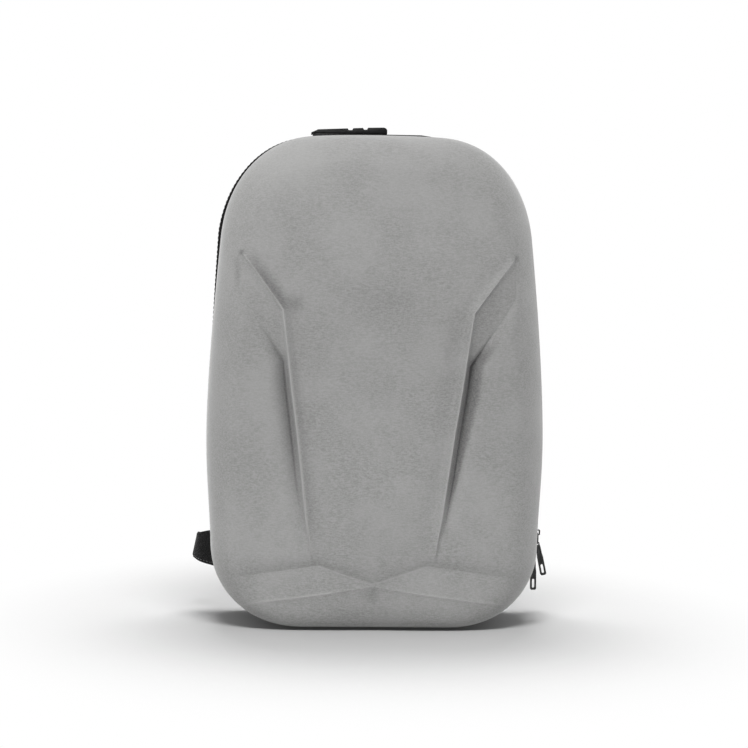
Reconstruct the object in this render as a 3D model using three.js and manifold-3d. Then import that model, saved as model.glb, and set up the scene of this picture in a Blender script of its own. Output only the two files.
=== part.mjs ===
// Hard-shell backpack: grey moulded front, black gusset, back panel, straps, zip and lock.
// Millimetres, +Z up, the front faces -Y, X to the viewer's right. It stands on z = 0.
import * as THREE from "three";
import Module from "manifold-3d";

const wasm = await Module();
wasm.setup();

const HEIGHT = 480;
const HALF_WIDTH = 165.7;
const RIM_Y = -30; // plane of the shell's open edge
const GAP = 0.3; // clearance between neighbouring pieces

// Front shell
const SHELL_WALL = 3.6;
const SHELL_DRAFT = 2; // how far the side wall leans in towards the front
const FOOT_DRAFT = 2.5; // how much higher the foot of the face stands than its rim
const CROWN = 9; // how far the face falls back from the middle to the sides
const CREST_SLOPE = 9; // width of the slope inside the raised edge of the centre panel
const CREST_HOLLOW = 0.6; // how deep the panel sinks beside that edge, as a share of the edge's height
const STEP_WIDTH = 3; // width of the steep wall between facet and valley
const FACET_HOLLOW = 0.55; // below 1 the facet is hollow
const POD_SOFT = 1.4; // how round the pod rises from a shallow valley
const POD_SWELL = 2.3; // and from a deep one
const RELIEF_LEAN = Math.tan(THREE.MathUtils.degToRad(0.7)); // the pressed relief leans to the left
const LEAN_ABOUT = 330;
const LIP_DIP = 2.8;
const LIP_FILLET = 16;
const LINING_REACH = 5; // the inner skin passes this far clear of the relief's steep walls

// Zip, seen across its tape
const ZIP_WIDTH = 16;
const ZIP_INSET = 1.8;
const ZIP_TAPE = 1.2;
const COIL_WIDTH = 5.4;
const COIL_RISE = 1.5;
const ZIP_MIDDLE = ZIP_WIDTH / 2;

// Gusset and back panel, measured back from the rim
const GUSSET_FRONT = ZIP_WIDTH + GAP;
const GUSSET_BACK = 60;
const GUSSET_WALL = 3;
const GUSSET_LEAN = 1.7; // how far the upper half of the soft band has settled to the left
const PANEL_FACE = RIM_Y + GUSSET_BACK + 12;

// Lock
const LOCK_FRONT = RIM_Y + 19;
const LOCK_DEPTH = 26;
const LOCK_SEAT = 481.4; // top of the gusset under the lock
const BASE_TOP = 484;

// Sliders, rings and pulls
const SLIDER_LENGTH = 12;
const SLIDER_WIDTH = 9;
const PLATE_TOP = 1.4;
const BAIL_FOOT = -5;
const BAIL_HEAD = 1;
const RING = { halfWide: 3.6, halfTall: 5.45 };
const PULL_THICK = 1.8;

// Straps
const PAD = 11;
const TAB_THICK = 2.4;
const WEBBING = { wide: 25, thick: 1.8 };

const smooth = (t) => t * t * (3 - 2 * t);
const clamp01 = (t) => Math.min(1, Math.max(0, t));
const mix = (a, b, t) => a + (b - a) * t;

// Reads a column of a table whose rows are sorted by the key column.
function read(table, key, column, at) {
  if (at <= table[0][key]) return table[0][column];
  for (let i = 1; i < table.length; i += 1) {
    const low = table[i - 1];
    const high = table[i];
    if (at <= high[key]) return mix(low[column], high[column], (at - low[key]) / (high[key] - low[key]));
  }
  return table[table.length - 1][column];
}

// Right half of the front outline (x, z), from the middle of the foot to the middle of the top.
const FOOT_FLAT = 71.2;
const TOP_FLAT = 64.2;
const TOP_SHOULDER = 478.4;
const outlineCurves = [
  { from: [FOOT_FLAT, 0], leave: [126.9, 0], arrive: [159.3, 35.9], to: [160.5, 73.5], steps: 12 },
  { from: [160.5, 73.5], leave: [161.8, 114.1], arrive: [165.7, 141.9], to: [165.7, 181.7], steps: 4 },
  { from: [165.7, 181.7], leave: [165.7, 240.5], arrive: [158, 327.2], to: [153.3, 377.8], steps: 7 },
  {
    from: [153.3, 377.8],
    leave: [148.7, 428.8],
    arrive: [118.4, 474.8],
    to: [TOP_FLAT, TOP_SHOULDER],
    steps: 12,
  },
  { from: [TOP_FLAT, TOP_SHOULDER], leave: [44, 479.7], arrive: [22, 480], to: [0, 480], steps: 3 },
];

// Points (x, z) of the right half of the outline, with `fine` times the steps of each curve.
function halfOutline(fine) {
  const points = [new THREE.Vector2(0, 0), new THREE.Vector2(FOOT_FLAT / 2, 0)];
  for (const curve of outlineCurves) {
    const bezier = new THREE.CubicBezierCurve(
      new THREE.Vector2(...curve.from),
      new THREE.Vector2(...curve.leave),
      new THREE.Vector2(...curve.arrive),
      new THREE.Vector2(...curve.to),
    );
    for (const point of bezier.getPoints(curve.steps * fine).slice(0, -1)) points.push(point);
  }
  points.push(new THREE.Vector2(0, HEIGHT));
  return points;
}

// The whole outline, counter-clockwise seen from the front.
function fullOutline(fine) {
  const half = halfOutline(fine);
  const left = half.slice(1, -1).reverse();
  return [...half, ...left.map((point) => new THREE.Vector2(-point.x, point.y))];
}

const fineOutline = halfOutline(6);

// Half width of the outline at height z.
function halfWidth(z) {
  for (let i = 3; i < fineOutline.length; i += 1) {
    const low = fineOutline[i - 1];
    const high = fineOutline[i];
    if (z <= high.y) return mix(low.x, high.x, clamp01((z - low.y) / Math.max(1e-6, high.y - low.y)));
  }
  return 0;
}

// Distance from a point of the front to the outline.
const segment = new THREE.Line3();
const nearest = new THREE.Vector3();
function edgeDistance(x, z) {
  const point = new THREE.Vector3(Math.abs(x), z, 0);
  let best = Infinity;
  for (let i = 1; i < fineOutline.length; i += 1) {
    segment.start.set(fineOutline[i - 1].x, fineOutline[i - 1].y, 0);
    segment.end.set(fineOutline[i].x, fineOutline[i].y, 0);
    segment.closestPointToPoint(point, true, nearest);
    best = Math.min(best, nearest.distanceTo(point));
  }
  return best;
}

// Draws a front point in towards the middle by `inset` at the widest place.
function insetPoint(x, z, inset) {
  return { x: x * (1 - inset / HALF_WIDTH), z: inset + (z * (HEIGHT - 2 * inset)) / HEIGHT };
}

function meshGeometry(points, faces) {
  const geometry = new THREE.BufferGeometry();
  const flat = points.flatMap((point) => [point.x, point.y, point.z]);
  geometry.setAttribute("position", new THREE.Float32BufferAttribute(flat, 3));
  geometry.setIndex(faces.flat());
  return geometry;
}

// Skins sections that each have the same number of points. `ring` joins the last section to the first.
function loft(sections, ring = false) {
  const size = sections[0].length;
  const points = sections.flat();
  const faces = [];
  const spans = ring ? sections.length : sections.length - 1;
  for (let s = 0; s < spans; s += 1) {
    const here = s * size;
    const next = ((s + 1) % sections.length) * size;
    for (let i = 0; i < size; i += 1) {
      const j = (i + 1) % size;
      faces.push([here + i, next + i, next + j], [here + i, next + j, here + j]);
    }
  }
  if (!ring) {
    const last = (sections.length - 1) * size;
    for (let i = 1; i < size - 1; i += 1) {
      faces.push([0, i, i + 1], [last, last + i + 1, last + i]);
    }
  }
  return outward(meshGeometry(points, faces));
}

// Turns every face over if the solid came out inside out.
function outward(geometry) {
  const position = geometry.getAttribute("position");
  const index = geometry.getIndex().array;
  const corner = [new THREE.Vector3(), new THREE.Vector3(), new THREE.Vector3()];
  let volume = 0;
  for (let i = 0; i < index.length; i += 3) {
    corner.forEach((vector, k) => vector.fromBufferAttribute(position, index[i + k]));
    volume += corner[0].dot(corner[1].clone().cross(corner[2]));
  }
  if (volume < 0) {
    const flipped = [];
    for (let i = 0; i < index.length; i += 3) flipped.push(index[i], index[i + 2], index[i + 1]);
    geometry.setIndex(flipped);
  }
  return geometry;
}

// Front shell: depth forward of the rim plane, worked out from the height z and the place x across.

const faceRows = [
  { z: 0, depth: 95, wall: 79, round: 9 },
  { z: 20, depth: 96.5, wall: 66, round: 18 },
  { z: 40, depth: 97.5, wall: 56, round: 28 },
  { z: 110, depth: 101, wall: 48, round: 32 },
  { z: 200, depth: 103, wall: 44, round: 34 },
  { z: 307, depth: 101, wall: 42, round: 35 },
  { z: 360, depth: 96, wall: 40, round: 37 },
  { z: 420, depth: 86, wall: 37, round: 40 },
  { z: 480, depth: 74, wall: 34, round: 42 },
];

// Side of the centre panel: crest of its edge, valley outside it, where the pod is full again, how deep the
// valley is, how high the crest, and the steep step at the outer edge of the facet.
const reliefRows = [
  { z: 48, ridge: 57, valley: 60, pod: 66, drop: 0, crest: 0, step: 0 },
  { z: 72, ridge: 60.3, valley: 63.4, pod: 72, drop: 0.6, crest: 0.8, step: 0.2 },
  { z: 105, ridge: 65.4, valley: 70.4, pod: 82, drop: 3.2, crest: 1.6, step: 1 },
  { z: 145, ridge: 70.4, valley: 76.8, pod: 91, drop: 6.5, crest: 2, step: 2.8 },
  { z: 190, ridge: 76.2, valley: 82.6, pod: 99, drop: 9.5, crest: 2.3, step: 5 },
  { z: 229, ridge: 82, valley: 88, pod: 106, drop: 12, crest: 2.5, step: 6.8 },
  { z: 255, ridge: 85.4, valley: 90.6, pod: 109, drop: 12.5, crest: 2.6, step: 7 },
  { z: 272, ridge: 87.7, valley: 102, pod: 119, drop: 6.4, crest: 2.8, step: 2.6 },
  { z: 290, ridge: 90.1, valley: 114, pod: 130, drop: 4, crest: 2.8, step: 0.6 },
  { z: 308, ridge: 92.6, valley: 126, pod: 136, drop: 3.2, crest: 2.8, step: 0.2 },
  { z: 321, ridge: 102.4, valley: 133.4, pod: 138.6, drop: 2.6, crest: 2.8, step: 0 },
  { z: 348, ridge: 122.9, valley: 133.4, pod: 138.6, drop: 1.6, crest: 2.2, step: 0 },
  { z: 359, ridge: 131.3, valley: 133.5, pod: 138.6, drop: 0.6, crest: 1.4, step: 0 },
  { z: 362, ridge: 132.8, valley: 133.8, pod: 138.6, drop: 0, crest: 0, step: 0 },
];

// Lip along the foot: upper crease and lower ridge by distance from the middle.
const lipRows = [
  { x: 0, crease: 42.8, ridge: 40.4, dip: 0.8, out: -2.4 },
  { x: 53, crease: 60.8, ridge: 32.6, dip: 1, out: 0.8 },
  { x: 117, crease: 51.6, ridge: 24, dip: 0.7, out: 0.8 },
  { x: 134, crease: 49, ridge: 20, dip: 0.2, out: 0.2 },
  { x: 150, crease: 48, ridge: 20, dip: 0, out: 0 },
];

// Reads a relief column and, above and below the table, scales it with the outline.
function sideColumn(column, z) {
  const first = reliefRows[0];
  const last = reliefRows[reliefRows.length - 1];
  const end = z < first.z ? first : z > last.z ? last : null;
  if (end) return (end[column] * halfWidth(z)) / halfWidth(end.z);
  return read(reliefRows, "z", column, z);
}

// Where the facet outside the crest ends and the step down to the valley starts.
function facetEdge(z) {
  const ridge = sideColumn("ridge", z);
  const valley = sideColumn("valley", z);
  return Math.max(valley - STEP_WIDTH, mix(ridge, valley, 0.6));
}

function sideRelief(x, z) {
  const ridge = sideColumn("ridge", z);
  const valley = sideColumn("valley", z);
  const pod = sideColumn("pod", z);
  const edge = facetEdge(z);
  const drop = read(reliefRows, "z", "drop", z);
  const crest = read(reliefRows, "z", "crest", z);
  const step = read(reliefRows, "z", "step", z);
  const hollow = -CREST_HOLLOW * crest;
  const inside = ridge - x;
  if (inside >= CREST_SLOPE) return mix(hollow, 0, smooth(clamp01(inside / (2 * CREST_SLOPE) - 0.5)));
  if (inside >= 0) return mix(crest, hollow, smooth(inside / CREST_SLOPE));
  if (x <= edge) return mix(crest, step - drop, (-inside / (edge - ridge)) ** FACET_HOLLOW);
  if (x <= valley) return mix(step - drop, -drop, (x - edge) / (valley - edge));
  const swell = mix(POD_SOFT, POD_SWELL, smooth(clamp01(step / 5)));
  return -drop * (1 - clamp01((x - valley) / (pod - valley))) ** swell;
}

function lipRelief(x, z) {
  const crease = read(lipRows, "x", "crease", x);
  const ridge = read(lipRows, "x", "ridge", x);
  const dip = -LIP_DIP * read(lipRows, "x", "dip", x);
  const out = read(lipRows, "x", "out", x);
  if (z >= crease) return dip * (1 - clamp01((z - crease) / LIP_FILLET)) ** 2;
  if (z >= ridge) return mix(out, dip, (z - ridge) / (crease - ridge));
  return out;
}

// Depth of the face at a place of the front. Where a reach is given, the deepest relief within it counts.
function shellDepth(x, z, reach) {
  const wall = read(faceRows, "z", "wall", z);
  const across = Math.abs(x);
  const face = read(faceRows, "z", "depth", z) - CROWN * (across / HALF_WIDTH) ** 2;
  const beside = [-reach, 0, reach].map((step) => sideRelief(Math.abs(across + step), z));
  const relief = Math.min(...beside) + lipRelief(across, z);
  const inside = clamp01(edgeDistance(x, z) / read(faceRows, "z", "round", z));
  return wall + (face + relief - wall) * Math.sqrt(1 - (1 - inside) ** 2);
}

// How far the leaning relief shifts a place of the front. The lean dies out towards the edge and the foot.
function leanShift(x, z) {
  const free = RELIEF_LEAN * clamp01(1 - (x / Math.max(1, halfWidth(z))) ** 4);
  const level = smooth(clamp01((z - 150) / 100)) * smooth(clamp01((TOP_SHOULDER - z) / 60));
  return { x: (z - LEAN_ABOUT) * free, z: -x * free * level };
}

// Columns of the shell's grid from the middle to the edge, so that ridges and valleys fall on mesh edges.
const EDGE_SHARES = [0.14, 0.36, 0.62, 0.86, 1];
function columnPlaces(z) {
  const ridge = sideColumn("ridge", z);
  const valley = sideColumn("valley", z);
  const pod = sideColumn("pod", z);
  const half = halfWidth(z);
  const foot = ridge - Math.min(CREST_SLOPE, 0.25 * ridge);
  const places = [0, 0.5 * foot, foot, mix(foot, ridge, 0.55), ridge, facetEdge(z), valley];
  places.push(mix(valley, pod, 0.25), mix(valley, pod, 0.55), pod);
  for (const share of EDGE_SHARES) places.push(mix(pod, half, Math.sin((share * Math.PI) / 2)));
  return places;
}

// Rows of the shell's grid. Rows tied to a lip line follow it across the front, the others are level.
const shellRows = [
  ...[0, 1.4, 5, 10, 15.5].map((z) => ({ z })),
  { z: 20, line: "ridge", above: 0 },
  { z: 34, line: "middle", above: 0 },
  { z: 48, line: "crease", above: 0 },
  { z: 53, line: "crease", above: 5 },
  { z: 58, line: "crease", above: 10 },
  { z: 65, line: "crease", above: 17 },
  ...[86, 105, 125, 145, 167, 190, 210, 229, 255].map((z) => ({ z })),
  ...[272, 290, 308, 321, 335, 348, 359, 362, 376].map((z) => ({ z })),
  ...[395, 413, 429, 443, 455, 464.5, 472, 477, 480].map((z) => ({ z })),
];

function rowHeight(row, x) {
  if (!row.line) return row.z;
  const across = Math.abs(x);
  const crease = read(lipRows, "x", "crease", across);
  const ridge = read(lipRows, "x", "ridge", across);
  if (row.line === "ridge") return ridge;
  if (row.line === "middle") return (ridge + crease) / 2;
  return crease + row.above;
}

// The top row follows the arch of the top edge.
function archHeight(x) {
  const points = fineOutline.slice().reverse();
  for (let i = 1; i < points.length; i += 1) {
    if (Math.abs(x) <= points[i].x) {
      const share = (Math.abs(x) - points[i - 1].x) / (points[i].x - points[i - 1].x);
      return mix(points[i - 1].y, points[i].y, share);
    }
  }
  return HEIGHT;
}

function frontShell() {
  const topRow = shellRows.length - 1;
  const grid = shellRows.map((row, r) => {
    let places = columnPlaces(row.z);
    if (r === 0) places = columnPlaces(1).map((x) => (x * FOOT_FLAT) / halfWidth(1));
    if (r === topRow) places = columnPlaces(477).map((x) => (x * TOP_FLAT) / halfWidth(477));
    const whole = [...places.slice(1).reverse().map((x) => -x), ...places];
    return whole.map((x) => ({ x, z: r === topRow ? archHeight(x) : rowHeight(row, x) }));
  });
  const across = grid[0].length;
  const border = [];
  for (let c = 0; c < across; c += 1) border.push([0, c]);
  for (let r = 1; r < topRow; r += 1) border.push([r, across - 1]);
  for (let c = across - 1; c >= 0; c -= 1) border.push([topRow, c]);
  for (let r = topRow - 1; r > 0; r -= 1) border.push([r, 0]);

  const points = [];
  const faces = [];
  // Adds one skin, `inset` inside the outer one, and returns the indices of its rim ring.
  const addSkin = (inset, inside) => {
    const start = points.length;
    const reach = inside ? LINING_REACH : 0;
    const turn = (a, b, c) => faces.push(inside ? [a, c, b] : [a, b, c]);
    for (const row of grid) {
      for (const { x, z } of row) {
        const shift = leanShift(x, z);
        const draftedX = (x + shift.x) * (1 - SHELL_DRAFT / HALF_WIDTH);
        const draftedZ = FOOT_DRAFT + (z + shift.z) * (1 - (SHELL_DRAFT + FOOT_DRAFT) / HEIGHT);
        const place = insetPoint(draftedX, draftedZ, inset);
        points.push(new THREE.Vector3(place.x, RIM_Y - shellDepth(x, z, reach) + inset, place.z));
      }
    }
    for (let r = 0; r < topRow; r += 1) {
      for (let c = 0; c < across - 1; c += 1) {
        const a = start + r * across + c;
        turn(a, a + 1, a + across + 1);
        turn(a, a + across + 1, a + across);
      }
    }
    const rim = points.length;
    for (const [r, c] of border) {
      const place = insetPoint(grid[r][c].x, grid[r][c].z, inset);
      points.push(new THREE.Vector3(place.x, RIM_Y, place.z));
    }
    border.forEach(([r, c], i) => {
      const j = (i + 1) % border.length;
      const here = start + r * across + c;
      const next = start + border[j][0] * across + border[j][1];
      turn(here, rim + i, rim + j);
      turn(here, rim + j, next);
    });
    return rim;
  };
  const outerRim = addSkin(0, false);
  const innerRim = addSkin(SHELL_WALL, true);
  for (let i = 0; i < border.length; i += 1) {
    const j = (i + 1) % border.length;
    faces.push([outerRim + i, innerRim + i, innerRim + j], [outerRim + i, innerRim + j, outerRim + j]);
  }
  return outward(meshGeometry(points, faces));
}

// A band round the outline. Each corner of its section has a place in depth and an inset, which may vary
// with z. `lean` gives how far the band is shifted sideways at a height.
function outlineBand(corners, fine, lean) {
  const sections = fullOutline(fine).map((point) =>
    corners.map(({ back, inset }) => {
      const place = insetPoint(point.x, point.y, typeof inset === "function" ? inset(point.y) : inset);
      return new THREE.Vector3(place.x + lean(place.z), RIM_Y + back, Math.max(0, place.z));
    }),
  );
  return loft(sections, true);
}

// Zip: a tape with a coil bead along its middle.

function zipTape() {
  const tapeTop = ZIP_INSET;
  const tapeFoot = ZIP_INSET + ZIP_TAPE;
  return outlineBand(
    [
      { back: GAP, inset: tapeTop },
      { back: ZIP_MIDDLE - COIL_WIDTH / 2, inset: tapeTop },
      { back: ZIP_MIDDLE - COIL_WIDTH / 4, inset: tapeTop - COIL_RISE },
      { back: ZIP_MIDDLE + COIL_WIDTH / 4, inset: tapeTop - COIL_RISE },
      { back: ZIP_MIDDLE + COIL_WIDTH / 2, inset: tapeTop },
      { back: ZIP_WIDTH, inset: tapeTop },
      { back: ZIP_WIDTH, inset: tapeFoot },
      { back: GAP, inset: tapeFoot },
    ],
    1,
    () => 0,
  );
}

// Gusset: the band between zip and back panel. Below zero it stands proud of the shell's outline.
const gussetRows = [
  { z: 0, inset: 0 },
  { z: 40, inset: 1.5 },
  { z: 120, inset: 3 },
  { z: 230, inset: 3 },
  { z: 310, inset: 1 },
  { z: 385, inset: -1.6 },
  { z: 445, inset: -1 },
  { z: 480, inset: -1.4 },
];
const gussetInset = (z) => read(gussetRows, "z", "inset", z);
const gussetLean = (z) => -GUSSET_LEAN * smooth(clamp01((z - 150) / 150));

// Where a piece sewn to the gusset's side starts at height z.
function gussetSide(z) {
  return insetPoint(halfWidth(z), z, gussetInset(z)).x + GAP;
}

function sideGusset() {
  const frontInset = (z) => gussetInset(z) + 0.5 * clamp01(z / 40);
  return outlineBand(
    [
      { back: GUSSET_FRONT, inset: frontInset },
      { back: mix(GUSSET_FRONT, GUSSET_BACK, 0.4), inset: gussetInset },
      { back: GUSSET_BACK, inset: frontInset },
      { back: GUSSET_BACK, inset: (z) => frontInset(z) + GUSSET_WALL },
      { back: GUSSET_FRONT, inset: (z) => frontInset(z) + GUSSET_WALL },
    ],
    1,
    gussetLean,
  );
}

// Back panel: a padded plate, full in the middle.
const panelRings = [
  { back: GUSSET_BACK + GAP, inset: 0.6 },
  { back: GUSSET_BACK + 5, inset: 0.6 },
  { back: GUSSET_BACK + 8.4, inset: 3.4 },
  { back: GUSSET_BACK + 10, inset: 9 },
  { back: GUSSET_BACK + 11.4, inset: 30 },
  { back: GUSSET_BACK + 12, inset: 80 },
];

function backPanel() {
  const outline = fullOutline(1);
  const rings = panelRings.map(({ back, inset }, i) =>
    outline.map((point) => {
      const own = i < 2 ? gussetInset(point.y) + inset : inset;
      const place = insetPoint(point.x, point.y, own);
      return new THREE.Vector3(place.x + gussetLean(place.z), RIM_Y + back, Math.max(0, place.z));
    }),
  );
  const size = outline.length;
  const points = rings.flat();
  const faces = [];
  for (let s = 0; s < rings.length - 1; s += 1) {
    for (let i = 0; i < size; i += 1) {
      const j = (i + 1) % size;
      const here = s * size;
      faces.push([here + i, here + size + i, here + size + j], [here + i, here + size + j, here + j]);
    }
  }
  const frontMiddle = points.push(new THREE.Vector3(0, RIM_Y + GUSSET_BACK + GAP, HEIGHT / 2)) - 1;
  const backMiddle = points.push(new THREE.Vector3(0, PANEL_FACE, HEIGHT / 2)) - 1;
  const last = (rings.length - 1) * size;
  for (let i = 0; i < size; i += 1) {
    const j = (i + 1) % size;
    faces.push([frontMiddle, i, j], [backMiddle, last + j, last + i]);
  }
  return outward(meshGeometry(points, faces));
}

// Lock on the top: a thin base and a body with two slots, drawn in the front view and run back in depth.

function frontPrism(outline, holes, depth, bevel) {
  const shape = new THREE.Shape(outline.map(([x, z]) => new THREE.Vector2(x, z)));
  for (const hole of holes) shape.holes.push(hole);
  const prism = new THREE.ExtrudeGeometry(shape, {
    depth: depth - 2 * bevel,
    bevelEnabled: bevel > 0,
    bevelThickness: bevel,
    bevelSize: bevel,
    bevelOffset: -bevel,
    bevelSegments: 1,
  });
  prism.translate(0, 0, bevel);
  prism.rotateX(Math.PI / 2);
  prism.translate(0, depth, 0);
  return prism;
}

// The base's underside follows the arch of the gusset, and its thin end runs out to the right.
function lockBase() {
  const seat = LOCK_SEAT + GAP;
  const outline = [
    [-63, seat - 1.2],
    [-45, seat - 0.5],
    [-20, seat],
    [20, seat],
    [45, seat - 0.5],
    [58, seat - 1],
    [58, seat],
    [46, seat + 1.7],
    [20, BASE_TOP],
    [-60, BASE_TOP],
    [-63, BASE_TOP - 1.6],
  ];
  return frontPrism(outline, [], LOCK_DEPTH, 0).translate(0, LOCK_FRONT, 0);
}

const lockTopRows = [
  { x: -57.6, z: 488 },
  { x: -7.7, z: 490.3 },
  { x: 8.4, z: 490.7 },
];
const lockSlots = [
  { from: -28, to: -22.5, floor: 487.7 },
  { from: -12.6, to: -7.7, floor: 488.3 },
];
const SLOT_SLOPE = 0.9; // how far a slot's side leans in from its mouth to its floor

function lockBody() {
  const foot = BASE_TOP + GAP;
  const topAt = (x) => read(lockTopRows, "x", "z", x);
  const outline = [
    [-64.4, foot],
    [11.7, foot],
    [11.7, topAt(11.7) - 2.6],
    [10.5, topAt(11.7) - 0.8],
    [8.4, topAt(8.4)],
  ];
  for (const { from, to, floor } of lockSlots.slice().reverse()) {
    outline.push([to, topAt(to)], [to - SLOT_SLOPE, floor], [from + SLOT_SLOPE, floor], [from, topAt(from)]);
  }
  outline.push([-57.6, topAt(-57.6)], [-61.8, topAt(-57.6) - 2], [-64.4, foot + 0.6]);
  return frontPrism(outline, [], LOCK_DEPTH - 2, 0).translate(0, LOCK_FRONT + 1, 0);
}

// Zip sliders on the right side. The bail of each stands out sideways and the ring hangs in its window.
const sliderRows = [
  { name: "upper", z: 88.8, lean: 1.8, bail: 8.1, bar: 1.3, wire: 0.65, pullLean: 11.6 },
  { name: "lower", z: 75, lean: 2.5, bail: 4.2, bar: 0.9, wire: 0.45, pullLean: 0 },
];

function zipSlider(row) {
  const half = SLIDER_LENGTH / 2;
  const plate = [[0, -half], [PLATE_TOP, 1 - half], [PLATE_TOP, half - 1], [0, half]];
  const shoulder = row.bail - 1;
  const bail = [
    [PLATE_TOP - 0.6, BAIL_FOOT],
    [shoulder, BAIL_FOOT],
    [row.bail, BAIL_FOOT + 1],
    [row.bail, BAIL_HEAD - 1],
    [shoulder, BAIL_HEAD],
    [PLATE_TOP - 0.6, BAIL_HEAD],
  ];
  const window = [
    [PLATE_TOP + 0.3, BAIL_FOOT + row.bar],
    [PLATE_TOP + 0.3, BAIL_HEAD - row.bar],
    [row.bail - row.bar, BAIL_HEAD - row.bar],
    [row.bail - row.bar, BAIL_FOOT + row.bar],
  ];
  const windowPath = new THREE.Path(window.map(([x, z]) => new THREE.Vector2(x, z)));
  const plateSolid = solid(frontPrism(plate, [], SLIDER_WIDTH, 0).translate(0, -SLIDER_WIDTH / 2, 0));
  const bailSolid = solid(frontPrism(bail, [windowPath], 1.6, 0).translate(0, -0.8, 0));
  return geometryOf(plateSolid.add(bailSolid));
}

// Manifold from a three.js geometry and back.
function solid(geometry) {
  const source = geometry.index ? geometry.toNonIndexed() : geometry;
  const position = source.getAttribute("position").array;
  const mesh = new wasm.Mesh({
    numProp: 3,
    vertProperties: Float32Array.from(position),
    triVerts: Uint32Array.from({ length: position.length / 3 }, (_, i) => i),
  });
  mesh.merge();
  return new wasm.Manifold(mesh);
}

function geometryOf(manifold) {
  const mesh = manifold.getMesh();
  const geometry = new THREE.BufferGeometry();
  geometry.setAttribute("position", new THREE.BufferAttribute(Float32Array.from(mesh.vertProperties), 3));
  geometry.setIndex(Array.from(mesh.triVerts));
  return geometry;
}

// Oval ring between bail and pull, standing in the plane of depth and height.
function zipRing(wire) {
  const points = [];
  for (let i = 0; i < 12; i += 1) {
    const angle = (Math.PI * i) / 6;
    points.push(new THREE.Vector3(0, RING.halfWide * Math.sin(angle), RING.halfTall * Math.cos(angle)));
  }
  return new THREE.TubeGeometry(new THREE.CatmullRomCurve3(points, true), 16, wire, 6, true);
}

// Pull: a head with an eye, a slim neck and a wider end with a slot. It hangs from its eye at the origin.
const pullOutline = [
  [-2, 1],
  [-1, 2],
  [1, 2],
  [2, 1],
  [2, -1.4],
  [2.3, -3],
  [2.5, -9.5],
  [3, -14],
  [3.1, -30.6],
  [2, -32],
  [-2, -32],
  [-3.1, -30.6],
  [-3, -14],
  [-2.5, -9.5],
  [-2.3, -3],
  [-2, -1.4],
];

// A round-ended hole between two heights, or a round one where they are the same.
function slotHole(high, low, radius, steps) {
  const points = [];
  for (let i = 0; i < 2 * steps; i += 1) {
    const angle = (Math.PI * (i + 0.5)) / steps;
    const middle = i < steps ? high : low;
    points.push(new THREE.Vector2(radius * Math.cos(angle), middle + radius * Math.sin(angle)));
  }
  return new THREE.Path(points);
}

function zipPull() {
  const holes = [slotHole(0, 0, 1.1, 4), slotHole(-22.2, -28.6, 1.3, 4)];
  return frontPrism(pullOutline, holes, PULL_THICK, 0).translate(0, -PULL_THICK / 2, 0);
}

// Straps. A band follows a path; each row gives its centre, its size and the direction of its width.
function strapBand(rows, steps, corner) {
  const through = (points) => new THREE.CatmullRomCurve3(points, false, "centripetal");
  const centre = through(rows.map((row) => new THREE.Vector3(...row.at)));
  const spread = through(rows.map((row) => new THREE.Vector3(...row.side)));
  const sections = [];
  for (let s = 0; s <= steps; s += 1) {
    const t = s / steps;
    const middle = centre.getPoint(t);
    const along = centre.getTangent(t);
    const side = spread.getPoint(t);
    side.addScaledVector(along, -side.dot(along)).normalize();
    const face = new THREE.Vector3().crossVectors(along, side).normalize();
    const place = t * (rows.length - 1);
    const low = rows[Math.min(rows.length - 2, Math.floor(place))];
    const high = rows[Math.min(rows.length - 1, Math.floor(place) + 1)];
    const share = place - Math.min(rows.length - 2, Math.floor(place));
    const halfWide = mix(low.wide, high.wide, share) / 2;
    const halfThick = mix(low.thick, high.thick, share) / 2;
    const cut = corner * halfThick;
    const section = [
      [halfWide, halfThick - cut],
      [halfWide - 2 * cut, halfThick],
      [2 * cut - halfWide, halfThick],
      [-halfWide, halfThick - cut],
      [-halfWide, cut - halfThick],
      [2 * cut - halfWide, -halfThick],
      [halfWide - 2 * cut, -halfThick],
      [halfWide, cut - halfThick],
    ];
    const used = corner > 0 ? section : section.filter((_, i) => i % 2 === 0);
    sections.push(
      used.map(([w, f]) => middle.clone().addScaledVector(side, w).addScaledVector(face, f)),
    );
  }
  return loft(sections);
}

// Adjuster: a ladder-lock with two slots, drawn flat and set at the strap's end.
const ADJUSTER = { wide: 36, tall: 30, thick: 5, slot: 27, at: [92.6, PANEL_FACE + 28.6, 175.5] };
const adjusterTurn = new THREE.Matrix4()
  .makeRotationY(THREE.MathUtils.degToRad(-10))
  .multiply(new THREE.Matrix4().makeRotationX(THREE.MathUtils.degToRad(-18)))
  .setPosition(...ADJUSTER.at);
const adjusterSide = new THREE.Vector3(1, 0, 0).transformDirection(adjusterTurn).toArray();

// A place on the adjuster's middle line, so far above its middle.
function adjusterPoint(up) {
  return new THREE.Vector3(0, 0, up).applyMatrix4(adjusterTurn).toArray();
}

// Shoulder strap of the right side, from the panel's top down to the adjuster.
const padRows = [
  { at: [50, PANEL_FACE + PAD / 2 + 0.6, 440], side: [1, 0, 0], wide: 56, thick: PAD },
  { at: [51, PANEL_FACE + PAD / 2 + 1.2, 412], side: [1, 0, 0], wide: 58, thick: PAD },
  { at: [57, PANEL_FACE + 22, 362], side: [1, 0, 0.15], wide: 60, thick: PAD },
  { at: [67, PANEL_FACE + 37, 305], side: [1, 0, 0.2], wide: 60, thick: PAD },
  { at: [79, PANEL_FACE + 41, 248], side: [1, 0, 0.18], wide: 56, thick: PAD },
  { at: adjusterPoint(ADJUSTER.tall / 2 + 26), side: adjusterSide, wide: 46, thick: 9 },
  { at: adjusterPoint(ADJUSTER.tall / 2 + 0.8), side: adjusterSide, wide: 34, thick: 7 },
];

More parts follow.
